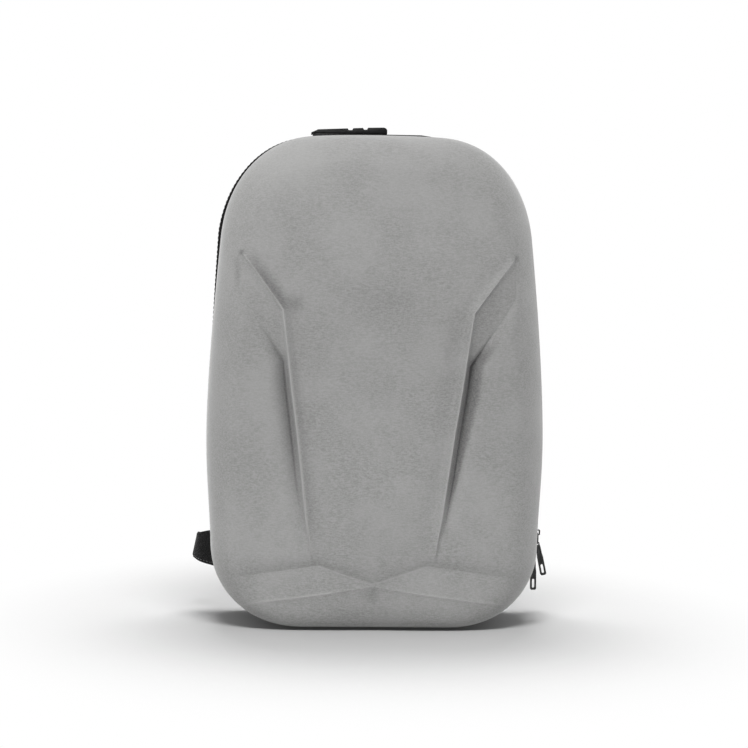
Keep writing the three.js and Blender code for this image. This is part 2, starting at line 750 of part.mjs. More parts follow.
function strapAdjuster() {
  const { wide, tall, thick, slot } = ADJUSTER;
  const outline = [
    [3 - wide / 2, -tall / 2],
    [wide / 2 - 3, -tall / 2],
    [wide / 2, 3 - tall / 2],
    [wide / 2, tall / 2 - 3],
    [wide / 2 - 3, tall / 2],
    [3 - wide / 2, tall / 2],
    [-wide / 2, tall / 2 - 3],
    [-wide / 2, 3 - tall / 2],
  ];
  const holes = [-6, 6].map((z) => {
    const corners = [[-slot / 2, z - 3], [-slot / 2, z + 3], [slot / 2, z + 3], [slot / 2, z - 3]];
    return new THREE.Path(corners.map(([x, y]) => new THREE.Vector2(x, y)));
  });
  return frontPrism(outline, holes, thick, 0).translate(0, -thick / 2, 0);
}

// Wing of the strap: from the gusset's side outwards and back. A row has an upper, middle and lower point.
const tabFoot = {
  upper: [gussetSide(82.5), 26, 82.5],
  middle: [gussetSide(63.5), 26, 63.5],
  lower: [gussetSide(44.5), 26, 44.5],
};
const tabRows = {
  left: [
    tabFoot,
    { upper: [166, 28, 81.4], middle: [164, 28, 63.8], lower: [160.5, 28, 46.2] },
    { upper: [173, 32, 79.4], middle: [173.4, 32, 65], lower: [172.6, 32, 49.6] },
    { upper: [175.5, 39, 77.8], middle: [177.5, 39, 66], lower: [179.7, 39, 53.6] },
  ],
  right: [
    tabFoot,
    { upper: [162.4, 32, 81.4], middle: [160.6, 32, 63.8], lower: [156.4, 32, 46.2] },
    { upper: [163.2, 38, 79.6], middle: [162, 38, 65], lower: [159, 38, 50] },
    { upper: [162.6, 45, 78.2], middle: [161.1, 45, 66.4], lower: [159.6, 45, 54.5] },
  ],
};

function strapTab(side) {
  const rows = tabRows[side];
  const sections = rows.map((row, i) => {
    const before = new THREE.Vector3(...rows[Math.max(0, i - 1)].middle);
    const along = new THREE.Vector3(...rows[Math.min(rows.length - 1, i + 1)].middle).sub(before);
    const face = along.cross(new THREE.Vector3(0, 0, 1)).normalize().multiplyScalar(TAB_THICK / 2);
    if (i === 0) face.set(0, -TAB_THICK / 2, 0);
    const upper = new THREE.Vector3(...row.upper);
    const middle = new THREE.Vector3(...row.middle);
    const lower = new THREE.Vector3(...row.lower);
    const front = [middle, lower].map((point) => point.clone().add(face));
    const back = [lower, middle, upper].map((point) => point.clone().sub(face));
    return [...front, ...back, upper.clone().add(face)];
  });
  return loft(sections);
}

// Webbing from the adjuster down and out to the end of the wing, written for the right side.
const webbingPaths = {
  left: [
    { at: adjusterPoint(-ADJUSTER.tall / 2 - 0.8), side: adjusterSide },
    { at: adjusterPoint(-ADJUSTER.tall / 2 - 16), side: adjusterSide },
    { at: [122, PANEL_FACE + 24, 104], side: [0.65, 0.2, 0.7] },
    { at: [146, PANEL_FACE + 23, 71.5], side: [0.3, 0.15, 0.95] },
    { at: [167, PANEL_FACE + 16, 63.8], side: [-0.1, 0.05, 1] },
    { at: [177, 49, 66], side: [-0.16, 0, 1] },
    { at: [177.5, 40.4, 66], side: [-0.16, 0, 1] },
  ],
  right: [
    { at: adjusterPoint(-ADJUSTER.tall / 2 - 0.8), side: adjusterSide },
    { at: adjusterPoint(-ADJUSTER.tall / 2 - 16), side: adjusterSide },
    { at: [125, PANEL_FACE + 23, 106], side: [0.6, 0.2, 0.75] },
    { at: [151, PANEL_FACE + 23, 79], side: [0.25, 0.15, 0.95] },
    { at: [161.1, 57, 66.4], side: [0.126, 0, 1] },
    { at: [161.1, 46.2, 66.4], side: [0.126, 0, 1] },
  ],
};

// Turns a piece written for the right side into the left one.
function mirrored(geometry) {
  const source = geometry.index ? geometry : geometry.clone();
  source.scale(-1, 1, 1);
  if (!source.index) {
    const count = source.getAttribute("position").count;
    source.setIndex(Array.from({ length: count }, (_, i) => i));
  }
  return outward(source);
}

const finishes = {
  shell: { color: 0x949492, roughness: 0.85, metalness: 0 },
  fabric: { color: 0x1b1b1c, roughness: 0.9, metalness: 0 },
  webbing: { color: 0x161617, roughness: 0.85, metalness: 0 },
  zip: { color: 0x131314, roughness: 0.7, metalness: 0 },
  plastic: { color: 0x18181a, roughness: 0.35, metalness: 0 },
  metal: { color: 0x1c1c1e, roughness: 0.35, metalness: 0.6 },
};

const group = new THREE.Group();

function addPiece(name, geometry, finish, place) {
  geometry.deleteAttribute("uv");
  geometry.deleteAttribute("normal");
  const mesh = new THREE.Mesh(geometry, new THREE.MeshStandardMaterial(finishes[finish]));
  mesh.name = name;
  if (place) place(mesh);
  group.add(mesh);
}

addPiece("front_shell", frontShell(), "shell");
addPiece("zip_tape", zipTape(), "zip");
addPiece("side_gusset", sideGusset(), "fabric");
addPiece("back_panel", backPanel(), "fabric");
addPiece("lock_base", lockBase(), "plastic");
addPiece("lock_body", lockBody(), "plastic");

for (const row of sliderRows) {
  const seat = new THREE.Vector3(halfWidth(row.z) - (ZIP_INSET - COIL_RISE) + GAP, RIM_Y + ZIP_MIDDLE, row.z);
  const lean = THREE.MathUtils.degToRad(row.lean);
  addPiece(`zip_slider_${row.name}`, zipSlider(row), "metal", (mesh) => {
    mesh.position.copy(seat);
    mesh.rotation.y = lean;
  });
  const clear = 1.5 * GAP + row.wire;
  const hang = new THREE.Vector3(row.bail - row.bar - clear, 0, BAIL_FOOT + row.bar + clear);
  hang.applyAxisAngle(new THREE.Vector3(0, 1, 0), lean).add(seat);
  addPiece(`zip_ring_${row.name}`, zipRing(row.wire), "metal", (mesh) => {
    mesh.position.copy(hang).setZ(hang.z - RING.halfTall);
  });
  addPiece(`zip_pull_${row.name}`, zipPull(), "metal", (mesh) => {
    mesh.position.copy(hang).setZ(hang.z - 2 * RING.halfTall);
    mesh.rotation.y = -THREE.MathUtils.degToRad(row.pullLean);
  });
}

for (const side of ["left", "right"]) {
  const own = (geometry) => (side === "left" ? mirrored(geometry) : geometry);
  const webbingRows = webbingPaths[side].map((row) => ({ ...row, ...WEBBING }));
  addPiece(`shoulder_strap_${side}`, own(strapBand(padRows, 20, 0.6)), "fabric");
  addPiece(`strap_adjuster_${side}`, own(strapAdjuster().applyMatrix4(adjusterTurn)), "plastic");
  addPiece(`strap_tab_${side}`, own(strapTab(side)), "webbing");
  addPiece(`strap_webbing_${side}`, own(strapBand(webbingRows, 24, 0)), "webbing");
}

export default group;
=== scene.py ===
# Hard-shell backpack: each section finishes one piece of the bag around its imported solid.
import math
from collections import namedtuple

import bmesh
import bpy
import numpy as np
from mathutils import Matrix, Vector, noise


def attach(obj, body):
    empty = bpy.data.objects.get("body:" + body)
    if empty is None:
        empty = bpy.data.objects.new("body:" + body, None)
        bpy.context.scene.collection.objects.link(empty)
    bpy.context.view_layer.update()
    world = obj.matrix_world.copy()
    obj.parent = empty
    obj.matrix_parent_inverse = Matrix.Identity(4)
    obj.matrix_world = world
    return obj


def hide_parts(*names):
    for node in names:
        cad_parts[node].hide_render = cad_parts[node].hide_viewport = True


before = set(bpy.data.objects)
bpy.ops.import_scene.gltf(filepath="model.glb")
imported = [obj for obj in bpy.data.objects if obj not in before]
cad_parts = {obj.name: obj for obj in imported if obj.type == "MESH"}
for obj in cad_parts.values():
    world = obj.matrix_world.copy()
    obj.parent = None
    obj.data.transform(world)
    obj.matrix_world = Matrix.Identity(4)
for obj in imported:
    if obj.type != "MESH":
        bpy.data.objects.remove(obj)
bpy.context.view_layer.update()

# Front shell: foam board pressed in a heated mould with brushed grey fabric bonded to its face.
# It is hollow, and its open edge at the back carries the zip. Meshes are drawn in millimetres,
# in the bag's frame, and brought to metres when a piece is finished.
MM = 0.001
HEIGHT = 480
HALF_WIDTH = 165.7
FOOT_FLAT = 71.2
TOP_FLAT = 64.2
TOP_SHOULDER = 478.4
RIM_Y = -30
SHELL_WALL = 3.6
SHELL_DRAFT = 2
FOOT_DRAFT = 2.5
CROWN = 9
CREST_SLOPE = 9
CREST_SLOPE_FULL = 40
CREST_HOLLOW = 0.6
CREST_FULL = 1.5
FACET_CREST = 0.5
FACET_CREST_FROM = 306
FACET_CREST_RUN = 12
FACET_CHANNEL = 0.35
FACET_CHANNEL_FROM = 295
FACET_CHANNEL_RUN = 20
LIP_DIP = 2.8
LIP_FILLET = 16
STEP_WIDTH = 3
STEP_SHARE = 0.6
FACET_HOLLOW = 0.55
POD_SOFT = 1.4
POD_SWELL = 2.3
POD_STEP = 5
BEAD_RISE = 1.0
BEAD_WIDTH = 1.3
LIP_BEADS = {"crease": 0.25, "ridge": 0.5}
RELIEF_LEAN = math.tan(math.radians(0.7))
LEAN_ABOUT = 330
WALL_STEPS = 8
LINING_REACH = 5
LINING_FADE = 20

outline_curves = np.array(
    [
        [(FOOT_FLAT, 0), (126.9, 0), (159.3, 35.9), (160.5, 73.5)],
        [(160.5, 73.5), (161.8, 114.1), (HALF_WIDTH, 141.9), (HALF_WIDTH, 181.7)],
        [(HALF_WIDTH, 181.7), (HALF_WIDTH, 240.5), (158, 327.2), (153.3, 377.8)],
        [(153.3, 377.8), (148.7, 428.8), (118.4, 474.8), (TOP_FLAT, TOP_SHOULDER)],
        [(TOP_FLAT, TOP_SHOULDER), (44, 479.7), (22, HEIGHT), (0, HEIGHT)],
    ]
)

FaceRow = namedtuple("FaceRow", "z depth wall round")
face_rows = [
    FaceRow(0, 95, 79, 9),
    FaceRow(20, 96.5, 66, 18),
    FaceRow(40, 97.5, 56, 28),
    FaceRow(110, 101, 48, 32),
    FaceRow(200, 103, 44, 34),
    FaceRow(307, 101, 42, 35),
    FaceRow(360, 96, 40, 37),
    FaceRow(420, 86, 37, 40),
    FaceRow(480, 74, 34, 42),
]

# Side of the centre panel: crest of its edge, valley outside it, where the side pod is full again,
# how deep the valley is, how high the crest, and the small step at the lower edge of the facet.
SideRow = namedtuple("SideRow", "z ridge valley pod drop crest step")
side_rows = [
    SideRow(60, 58.6, 61.6, 69, 0, 0, 0),
    SideRow(80, 61.4, 64.8, 75, 0.9, 1, 0.3),
    SideRow(105, 65.4, 70.4, 82, 3.2, 1.6, 1),
    SideRow(145, 70.4, 76.8, 91, 6.5, 2, 2.8),
    SideRow(190, 76.2, 82.6, 99, 9.5, 2.3, 5),
    SideRow(229, 82, 88, 106, 12, 2.5, 6.8),
    SideRow(255, 85.4, 90.6, 109, 12.5, 2.6, 7),
    SideRow(272, 87.7, 102, 119, 6.4, 2.8, 2.6),
    SideRow(290, 90.1, 114, 130, 4, 2.8, 0.6),
    SideRow(305.8, 92.3, 124.4, 135.2, 3.2, 2.8, 0.2),
    SideRow(321, 103.6, 133.2, 138.6, 2.6, 2.8, 0),
    SideRow(348, 123.6, 133.4, 138.6, 1.6, 2.2, 0),
    SideRow(357.6, 130.8, 133.4, 138.6, 0.6, 1.4, 0),
    SideRow(360.6, 132.7, 133.6, 138.6, 0, 0, 0),
]
crest_corner, crest_tip = side_rows[9], side_rows[-1]

# Lip along the foot, by distance from the middle: its upper crease, its lower ridge and their heights.
LipRow = namedtuple("LipRow", "x crease ridge dip out")
lip_rows = [
    LipRow(0, 42.8, 40.4, 0.8, -2.4),
    LipRow(53, 60.8, 32.6, 1, 0.8),
    LipRow(117, 51.6, 24, 0.7, 0.8),
    LipRow(134, 49, 20, 0.2, 0.2),
    LipRow(150, 48, 20, 0, 0),
]


def read(rows, key, name, at):
    """A column of a table at the given places of its key column."""
    keys = [getattr(row, key) for row in rows]
    return np.interp(at, keys, [getattr(row, name) for row in rows])


def mix(low, high, share):
    return low + (high - low) * share


def smooth(share):
    share = np.clip(share, 0, 1)
    return share * share * (3 - 2 * share)


Fade = namedtuple("Fade", "low rise high fall")


def within(value, fade):
    """1 between two limits, with a soft rise above the lower one and a soft fall up to the upper one."""
    return smooth((value - fade.low) / fade.rise) * smooth((fade.high - value) / fade.fall)


def soft_line(distance, width):
    """1 on a line, dying out to both sides of it."""
    return np.exp(-((distance / width) ** 2))


OUTLINE_STEPS = 36


def half_outline():
    """Points (x, z) of the outline's right half, from the middle of the foot to the middle of the top."""
    t = np.linspace(0, 1, OUTLINE_STEPS, endpoint=False)[:, None]
    points = [np.zeros((1, 2))]
    for leave, first, second, arrive in outline_curves:
        near = (1 - t) ** 3 * leave + 3 * t * (1 - t) ** 2 * first
        points.append(near + 3 * t**2 * (1 - t) * second + t**3 * arrive)
    points.append(np.array([[0, HEIGHT]]))
    return np.vstack(points)


outline = half_outline()


def half_width(z):
    return np.interp(z, outline[1:, 1], outline[1:, 0])


def arch_height(x):
    top = outline[-OUTLINE_STEPS - 1 :]
    return np.interp(x, top[::-1, 0], top[::-1, 1])


def edge_distance(x, z):
    """Distance from points of the front to the outline."""
    points = np.stack([np.abs(x), z], axis=-1)
    best = np.full(points.shape[:-1], np.inf)
    for start, end in zip(outline[:-1], outline[1:]):
        run = end - start
        share = np.clip(((points - start) @ run) / (run @ run), 0, 1)
        best = np.minimum(best, np.linalg.norm(points - start - share[..., None] * run, axis=-1))
    return best


def side_column(name, z):
    """A column of the side table. Above and below the table, the lines go with the outline's width."""
    z = np.asarray(z, float)
    held = np.clip(z, side_rows[0].z, side_rows[-1].z)
    value = read(side_rows, "z", name, held)
    if name in ("ridge", "valley", "pod"):
        value = value * half_width(z) / half_width(held)
    return value


def facet_edge(z):
    """Where the facet outside the crest ends and the step down to the valley starts."""
    ridge = side_column("ridge", z)
    valley = side_column("valley", z)
    return np.maximum(valley - STEP_WIDTH, mix(ridge, valley, STEP_SHARE))


def crest_height(z):
    """How far the crest's bead stands out: 1 along the panel and less beside the facet."""
    low = mix(1, FACET_CREST, smooth((z - FACET_CREST_FROM) / FACET_CREST_RUN))
    return np.minimum(side_column("crest", z) / CREST_FULL, 1) * low


def side_relief(x, z):
    """Relief of the panel's edge, the facet, the valley and the pod, by distance from the middle."""
    ridge = side_column("ridge", z)
    valley = side_column("valley", z)
    pod = side_column("pod", z)
    drop = side_column("drop", z)
    crest = side_column("crest", z)
    step = side_column("step", z)
    edge = facet_edge(z)
    shallow = mix(1, FACET_CHANNEL, smooth((z - FACET_CHANNEL_FROM) / FACET_CHANNEL_RUN))
    hollow = -CREST_HOLLOW * crest * shallow
    inside = ridge - x
    channel = mix(crest, hollow, smooth(inside / CREST_SLOPE))
    panel = mix(hollow, 0, smooth((inside - CREST_SLOPE) / (2 * CREST_SLOPE)))
    facet = mix(crest, step - drop, np.clip((x - ridge) / (edge - ridge), 0, 1) ** FACET_HOLLOW)
    wall = mix(step - drop, -drop, np.clip((x - edge) / (valley - edge), 0, 1))
    swell = mix(POD_SOFT, POD_SWELL, smooth(step / POD_STEP))
    rise = -drop * (1 - np.clip((x - valley) / (pod - valley), 0, 1)) ** swell
    places = [inside >= CREST_SLOPE, inside >= 0, x <= edge, x <= valley]
    relief = np.select(places, [panel, channel, facet, wall], rise)
    return relief + BEAD_RISE * crest_height(z) * soft_line(inside, BEAD_WIDTH)


def lip_relief(x, z):
    """Relief of the bow-tie lip: a fillet above its crease, and the lip down to its ridge."""
    crease = read(lip_rows, "x", "crease", x)
    ridge = read(lip_rows, "x", "ridge", x)
    dip = -LIP_DIP * read(lip_rows, "x", "dip", x)
    out = read(lip_rows, "x", "out", x)
    above = dip * (1 - np.clip((z - crease) / LIP_FILLET, 0, 1)) ** 2
    lip = mix(out, dip, (z - ridge) / (crease - ridge))
    bead = LIP_BEADS["crease"] * soft_line(z - crease, BEAD_WIDTH)
    bead = bead + LIP_BEADS["ridge"] * soft_line(z - ridge, BEAD_WIDTH)
    bead = bead * np.clip(-dip / LIP_DIP, 0, 1)
    return np.select([z >= crease, z >= ridge], [above, lip], out) + bead


LEAN_HEIGHTS = Fade(150, 100, TOP_SHOULDER, 60)


def lean(x, z):
    """How far the pressed relief has turned from upright, which dies out towards the edge and the foot."""
    free = RELIEF_LEAN * np.clip(1 - (x / np.maximum(half_width(z), 1)) ** 4, 0, 1)
    return (z - LEAN_ABOUT) * free, -x * free * within(z, LEAN_HEIGHTS)


def shell_depth(x, z, reach=0):
    """How far the shell's face stands in front of its rim.

    With a reach, the deepest relief within it counts.
    """
    across = np.abs(x)
    wall = read(face_rows, "z", "wall", z)
    face = read(face_rows, "z", "depth", z) - CROWN * (across / HALF_WIDTH) ** 2
    inside = np.clip(edge_distance(x, z) / read(face_rows, "z", "round", z), 0, 1)
    relief = np.min([side_relief(np.abs(across + step), z) for step in (-reach, 0, reach)], axis=0)
    full = face + relief + lip_relief(across, z)
    return wall + (full - wall) * np.sqrt(1 - (1 - inside) ** 2)


# Spans of the shell's mesh from the middle to the side, with the faces in each and how they crowd.
ColumnSpan = namedtuple("ColumnSpan", "faces power")
column_spans = [
    ColumnSpan(22, 1),
    ColumnSpan(14, 0.66),
    ColumnSpan(12, 1.8),
    ColumnSpan(5, 1),
    ColumnSpan(16, 1.5),
]
EDGE_FACES = 20
LINE_CROWDING = 0.8

# Spans from the foot to the top: height where one ends, its faces and the lip line that it ends on.
RowSpan = namedtuple("RowSpan", "z faces line")
row_spans = [
    RowSpan(20, 20, "ridge"),
    RowSpan(48, 24, "crease"),
    RowSpan(65, 22, "crease"),
    RowSpan(105, 14, None),
    RowSpan(255, 54, None),
    RowSpan(305.8, 26, None),
    RowSpan(323, 8, None),
    RowSpan(366, 22, None),
    RowSpan(380, 6, None),
    RowSpan(440, 22, None),
    RowSpan(TOP_SHOULDER, 22, "arch"),
]


def row_places():
    """The height of every row at the side, and the share of each lip line that it follows."""
    places = [(0, None, None, 0)]
    low = RowSpan(0, 0, None)
    for span in row_spans:
        for i in range(1, span.faces + 1):
            share = i / span.faces
            if low.z == 0:
                share = (1 - math.cos(share * math.pi)) / 2
            if low.line and span.line:
                share = mix(share, (1 - math.cos(share * math.pi)) / 2, LINE_CROWDING)
            if span.line == "arch":
                share = math.sin(share * math.pi / 2)
            places.append((mix(low.z, span.z, share), low.line, span.line, share))
        low = span
    return places


def line_rise(line, x, reach):
    """How far a lip line or the top arch runs above its height at the side."""
    if line is None:
        return np.zeros_like(x)
    if line == "arch":
        return arch_height(TOP_FLAT * x / reach) - TOP_SHOULDER
    end = lip_rows[-1]
    return read(lip_rows, "x", line, x) - getattr(end, line)


def shell_grid():
    """Places (x, z) of the face mesh, row by row from the foot up, from the left edge to the right one."""
    rows = []
    for z, below, above, share in row_places():
        reach = float(half_width(z))
        ridge = float(side_column("ridge", z))
        keys = [0, ridge - CREST_SLOPE * min(1, ridge / CREST_SLOPE_FULL), ridge, float(facet_edge(z))]
        keys += [float(side_column("valley", z)), float(side_column("pod", z))]
        places = [np.zeros(1)]
        for span, start, end in zip(column_spans, keys[:-1], keys[1:]):
            places.append(mix(start, end, (np.arange(1, span.faces + 1) / span.faces) ** span.power))
        turn = np.sin(np.arange(1, EDGE_FACES + 1) / EDGE_FACES * math.pi / 2)
        places.append(mix(keys[-1], reach, turn))
        x = np.concatenate(places)
        rise = mix(line_rise(below, x, reach), line_rise(above, x, reach), share)
        height = z + rise * (1 - (x / reach) ** 8)
        rows.append(np.stack([np.append(-x[:0:-1], x), np.append(height[:0:-1], height)], axis=-1))
    return np.array(rows)


# Unevenness of a surface: how high its waves are, how long, and which part of the noise they take.
Wave = namedtuple("Wave", "height size seed")
shell_waves = [Wave(0.35, 70, 3.1), Wave(0.12, 16, 8.7)]
WAVES_FROM_EDGE = 40


def uneven(x, z, wave):
    places = zip(x.ravel() / wave.size, z.ravel() / wave.size)
    levels = np.array([noise.noise((across, up, wave.seed)) for across, up in places])
    return wave.height * levels.reshape(x.shape)


# A shallow dent below the top of the centre panel; its colour is also darkened with painted shade.
DENT_AT = (2, 318)
DENT_SPREAD = (34, 15)
DENT_DEPTH = 0.7
DENT_SHADE = 0.22

# Dark spots: painted shade in the pressed corners, the hollows and along the left edge, and darker patches at
# the middle of the foot: place, spread and strength.
ShadeMark = namedtuple("ShadeMark", "at spread amount")
shade_marks = [
    ShadeMark((-84, 312), (10, 8), 0.65),
    ShadeMark((-96, 290), (3, 18), 0.12),
    ShadeMark((-133, 360.5), (2.5, 3), 0.9),
    ShadeMark((133, 359.8), (2.2, 3), 0.9),
    ShadeMark((0, 34), (6, 8), 0.5),
    ShadeMark((0, 14), (45, 8), 0.28),
    ShadeMark((0, 80), (55, 45), 0.1),
    ShadeMark((-137, 342), (2.5, 17), 0.4),
    ShadeMark((-162, 250), (14, 110), 0.16),
]

# Pale marks: a painted highlight spot at the upper left, and lines on the pressed edges that are partly
# rubbing and partly painted highlight. Pairs are the left and right side.
HIGHLIGHT_SPOT_AT = (-78, 440)
HIGHLIGHT_SPOT_SPREAD = (46, 30)
HIGHLIGHT_SPOT_AMOUNT = 0.55
CREST_RUB_HIGHLIGHT = (1.5, 0.85)
CREST_RUB_HIGHLIGHT_WIDTH = (0.85, 1.1)
RIDGE_RUB_HIGHLIGHT = (0.8, 0.45)
RIDGE_RUB_HIGHLIGHT_FROM = 28
RIDGE_RUB_HIGHLIGHT_RUN = 16
LIP_RUB_HIGHLIGHT_WIDTH = 1.1
CREASE_RUB_HIGHLIGHT_INNER = 0.6
CREASE_RUB_HIGHLIGHT_OUTER = 0.1
CREASE_RUB_HIGHLIGHT_FROM = 46
CREASE_RUB_HIGHLIGHT_RUN = 14


def spot(x, z, at, spread):
    """A soft spot that is 1 in its middle."""
    return np.exp(-(((x - at[0]) / spread[0]) ** 2) - ((z - at[1]) / spread[1]) ** 2)


def rub_and_highlight(x, z):
    """Pale lines along the crests, stronger on the left, and along the lip, partly rubbing and partly painted
    highlight; and a painted highlight spot at the upper left.
    """
    across = np.abs(x)
    left = x < 0
    line = soft_line(across - side_column("ridge", z), np.where(left, *CREST_RUB_HIGHLIGHT_WIDTH))
    crest = crest_height(z) ** 2 * line * np.where(left, *CREST_RUB_HIGHLIGHT)
    crease, ridge = (
        soft_line(z - read(lip_rows, "x", name, across), LIP_RUB_HIGHLIGHT_WIDTH) for name in ("crease", "ridge")
    )
    outer = smooth((across - CREASE_RUB_HIGHLIGHT_FROM) / CREASE_RUB_HIGHLIGHT_RUN)
    lip = mix(CREASE_RUB_HIGHLIGHT_INNER, CREASE_RUB_HIGHLIGHT_OUTER, outer) * crease
    lip += ridge * smooth((across - RIDGE_RUB_HIGHLIGHT_FROM) / RIDGE_RUB_HIGHLIGHT_RUN) * np.where(left, *RIDGE_RUB_HIGHLIGHT)
    lip = lip * read(lip_rows, "x", "dip", across)
    return np.maximum(np.maximum(crest, lip), HIGHLIGHT_SPOT_AMOUNT * spot(x, z, HIGHLIGHT_SPOT_AT, HIGHLIGHT_SPOT_SPREAD))


# Painted shade in and beside the grooves: how much, how wide, and the heights where it fades out upwards.
VALLEY_SHADE = 0.9
VALLEY_SHADE_WIDTH = 1.3
LEFT_STRIP_SHADE = 0.55
LEFT_POD_SHADE = 0.26
LEFT_POD_WIDTH = 12
LEFT_STEP = 5
LEFT_TOP = 262
LEFT_FADE = 25
RIGHT_STRIP_SHADE = 0.72
RIGHT_STRIP_TOP = 272
RIGHT_STRIP_FADE = 14
RIGHT_POD_SHADE = 0.85
RIGHT_POD_WIDTHS = (3, 15)
RIGHT_POD_HEIGHTS = (125, 225)
RIGHT_POD_SOFT = 0.45
RIGHT_STEP = 3
RIGHT_TOP = 286
RIGHT_FADE = 24
FACET_SHADE = 0.3
FACET_HEIGHTS = Fade(250, 20, 362, 40)


def groove_shade(x, z):
    """Painted shade in the grooves, on the pods beside them and on the right facet, where it fades outwards.
    """
    across = np.abs(x)
    outside = across - side_column("valley", z)
    inside = side_column("ridge", z) - across
    step = side_column("step", z)
    on_pod = outside >= 0
    strip = (inside < 0) & (outside < 0)
    valley = VALLEY_SHADE * soft_line(outside, VALLEY_SHADE_WIDTH)

    wide = np.interp(z, RIGHT_POD_HEIGHTS, RIGHT_POD_WIDTHS)
    right_pod = RIGHT_POD_SHADE * smooth((wide - outside) / (RIGHT_POD_SOFT * wide + 1)) * on_pod
    right_strip = RIGHT_STRIP_SHADE * strip * smooth((RIGHT_STRIP_TOP - z) / RIGHT_STRIP_FADE)
    right = np.maximum(right_pod, valley + right_strip)
    right *= smooth(step / RIGHT_STEP) * smooth((RIGHT_TOP - z) / RIGHT_FADE)
    facet = strip * smooth(-outside / np.maximum(-outside - inside, 1)) * within(z, FACET_HEIGHTS)
    right = np.maximum(right, FACET_SHADE * facet)

    left_pod = LEFT_POD_SHADE * soft_line(outside, LEFT_POD_WIDTH) * on_pod
    left = np.maximum(left_pod, valley + LEFT_STRIP_SHADE * strip)
    left *= smooth(step / LEFT_STEP) * smooth((LEFT_TOP - z) / LEFT_FADE)
    return np.where(x < 0, left, right)


# Painted shade beside and inside the crests, and along the slanting end of the left crest.
BESIDE_SHADE = 0.28
BESIDE_WIDTH = Fade(1, 2, 20, 17)
BESIDE_HEIGHTS = Fade(70, 50, 300, 60)
HOLLOW_SHADE = 0.12
HOLLOW_WIDTH = Fade(0, 3, 40, 36)
HOLLOW_HEIGHTS = Fade(90, 60, 330, 60)
BAND_SHADE = 0.85
BAND_WIDTH = Fade(0, 2, 15, 12)
BAND_RUN = Fade(-6, 8, 78, 50)


def crest_shade(x, z):
    """Painted shade in the hollows inside the crests, and a band of painted shade above the slanting end of
    the left one.
    """
    inside = side_column("ridge", z) - np.abs(x)
    beside = BESIDE_SHADE * within(inside, BESIDE_WIDTH) * within(z, BESIDE_HEIGHTS)
    hollow = HOLLOW_SHADE * within(inside, HOLLOW_WIDTH) * within(z, HOLLOW_HEIGHTS)
    corner, tip = (np.array([row.ridge, row.z]) for row in (crest_corner, crest_tip))
    along = (tip - corner) / np.linalg.norm(tip - corner)
    run = (-x - corner[0]) * along[0] + (z - corner[1]) * along[1]
    above = (x + corner[0]) * along[1] + (z - corner[1]) * along[0]
    band = BAND_SHADE * within(above, BAND_WIDTH) * within(run, BAND_RUN)
    return np.maximum((x < 0) * np.maximum(band, beside), hollow)


# Painted shade above the lip's crease, on the left and the right.
LIP_SHADE = (0.36, 0.28)
LIP_SHADE_RUN = 6


def lip_shade(x, z):
    """Painted shade in the fillet above the lip."""
    across = np.abs(x)
    crease = read(lip_rows, "x", "crease", across)
    fillet = soft_line(z - crease, LIP_SHADE_RUN) * (z >= crease)
    return np.where(x < 0, *LIP_SHADE) * fillet * read(lip_rows, "x", "dip", across)


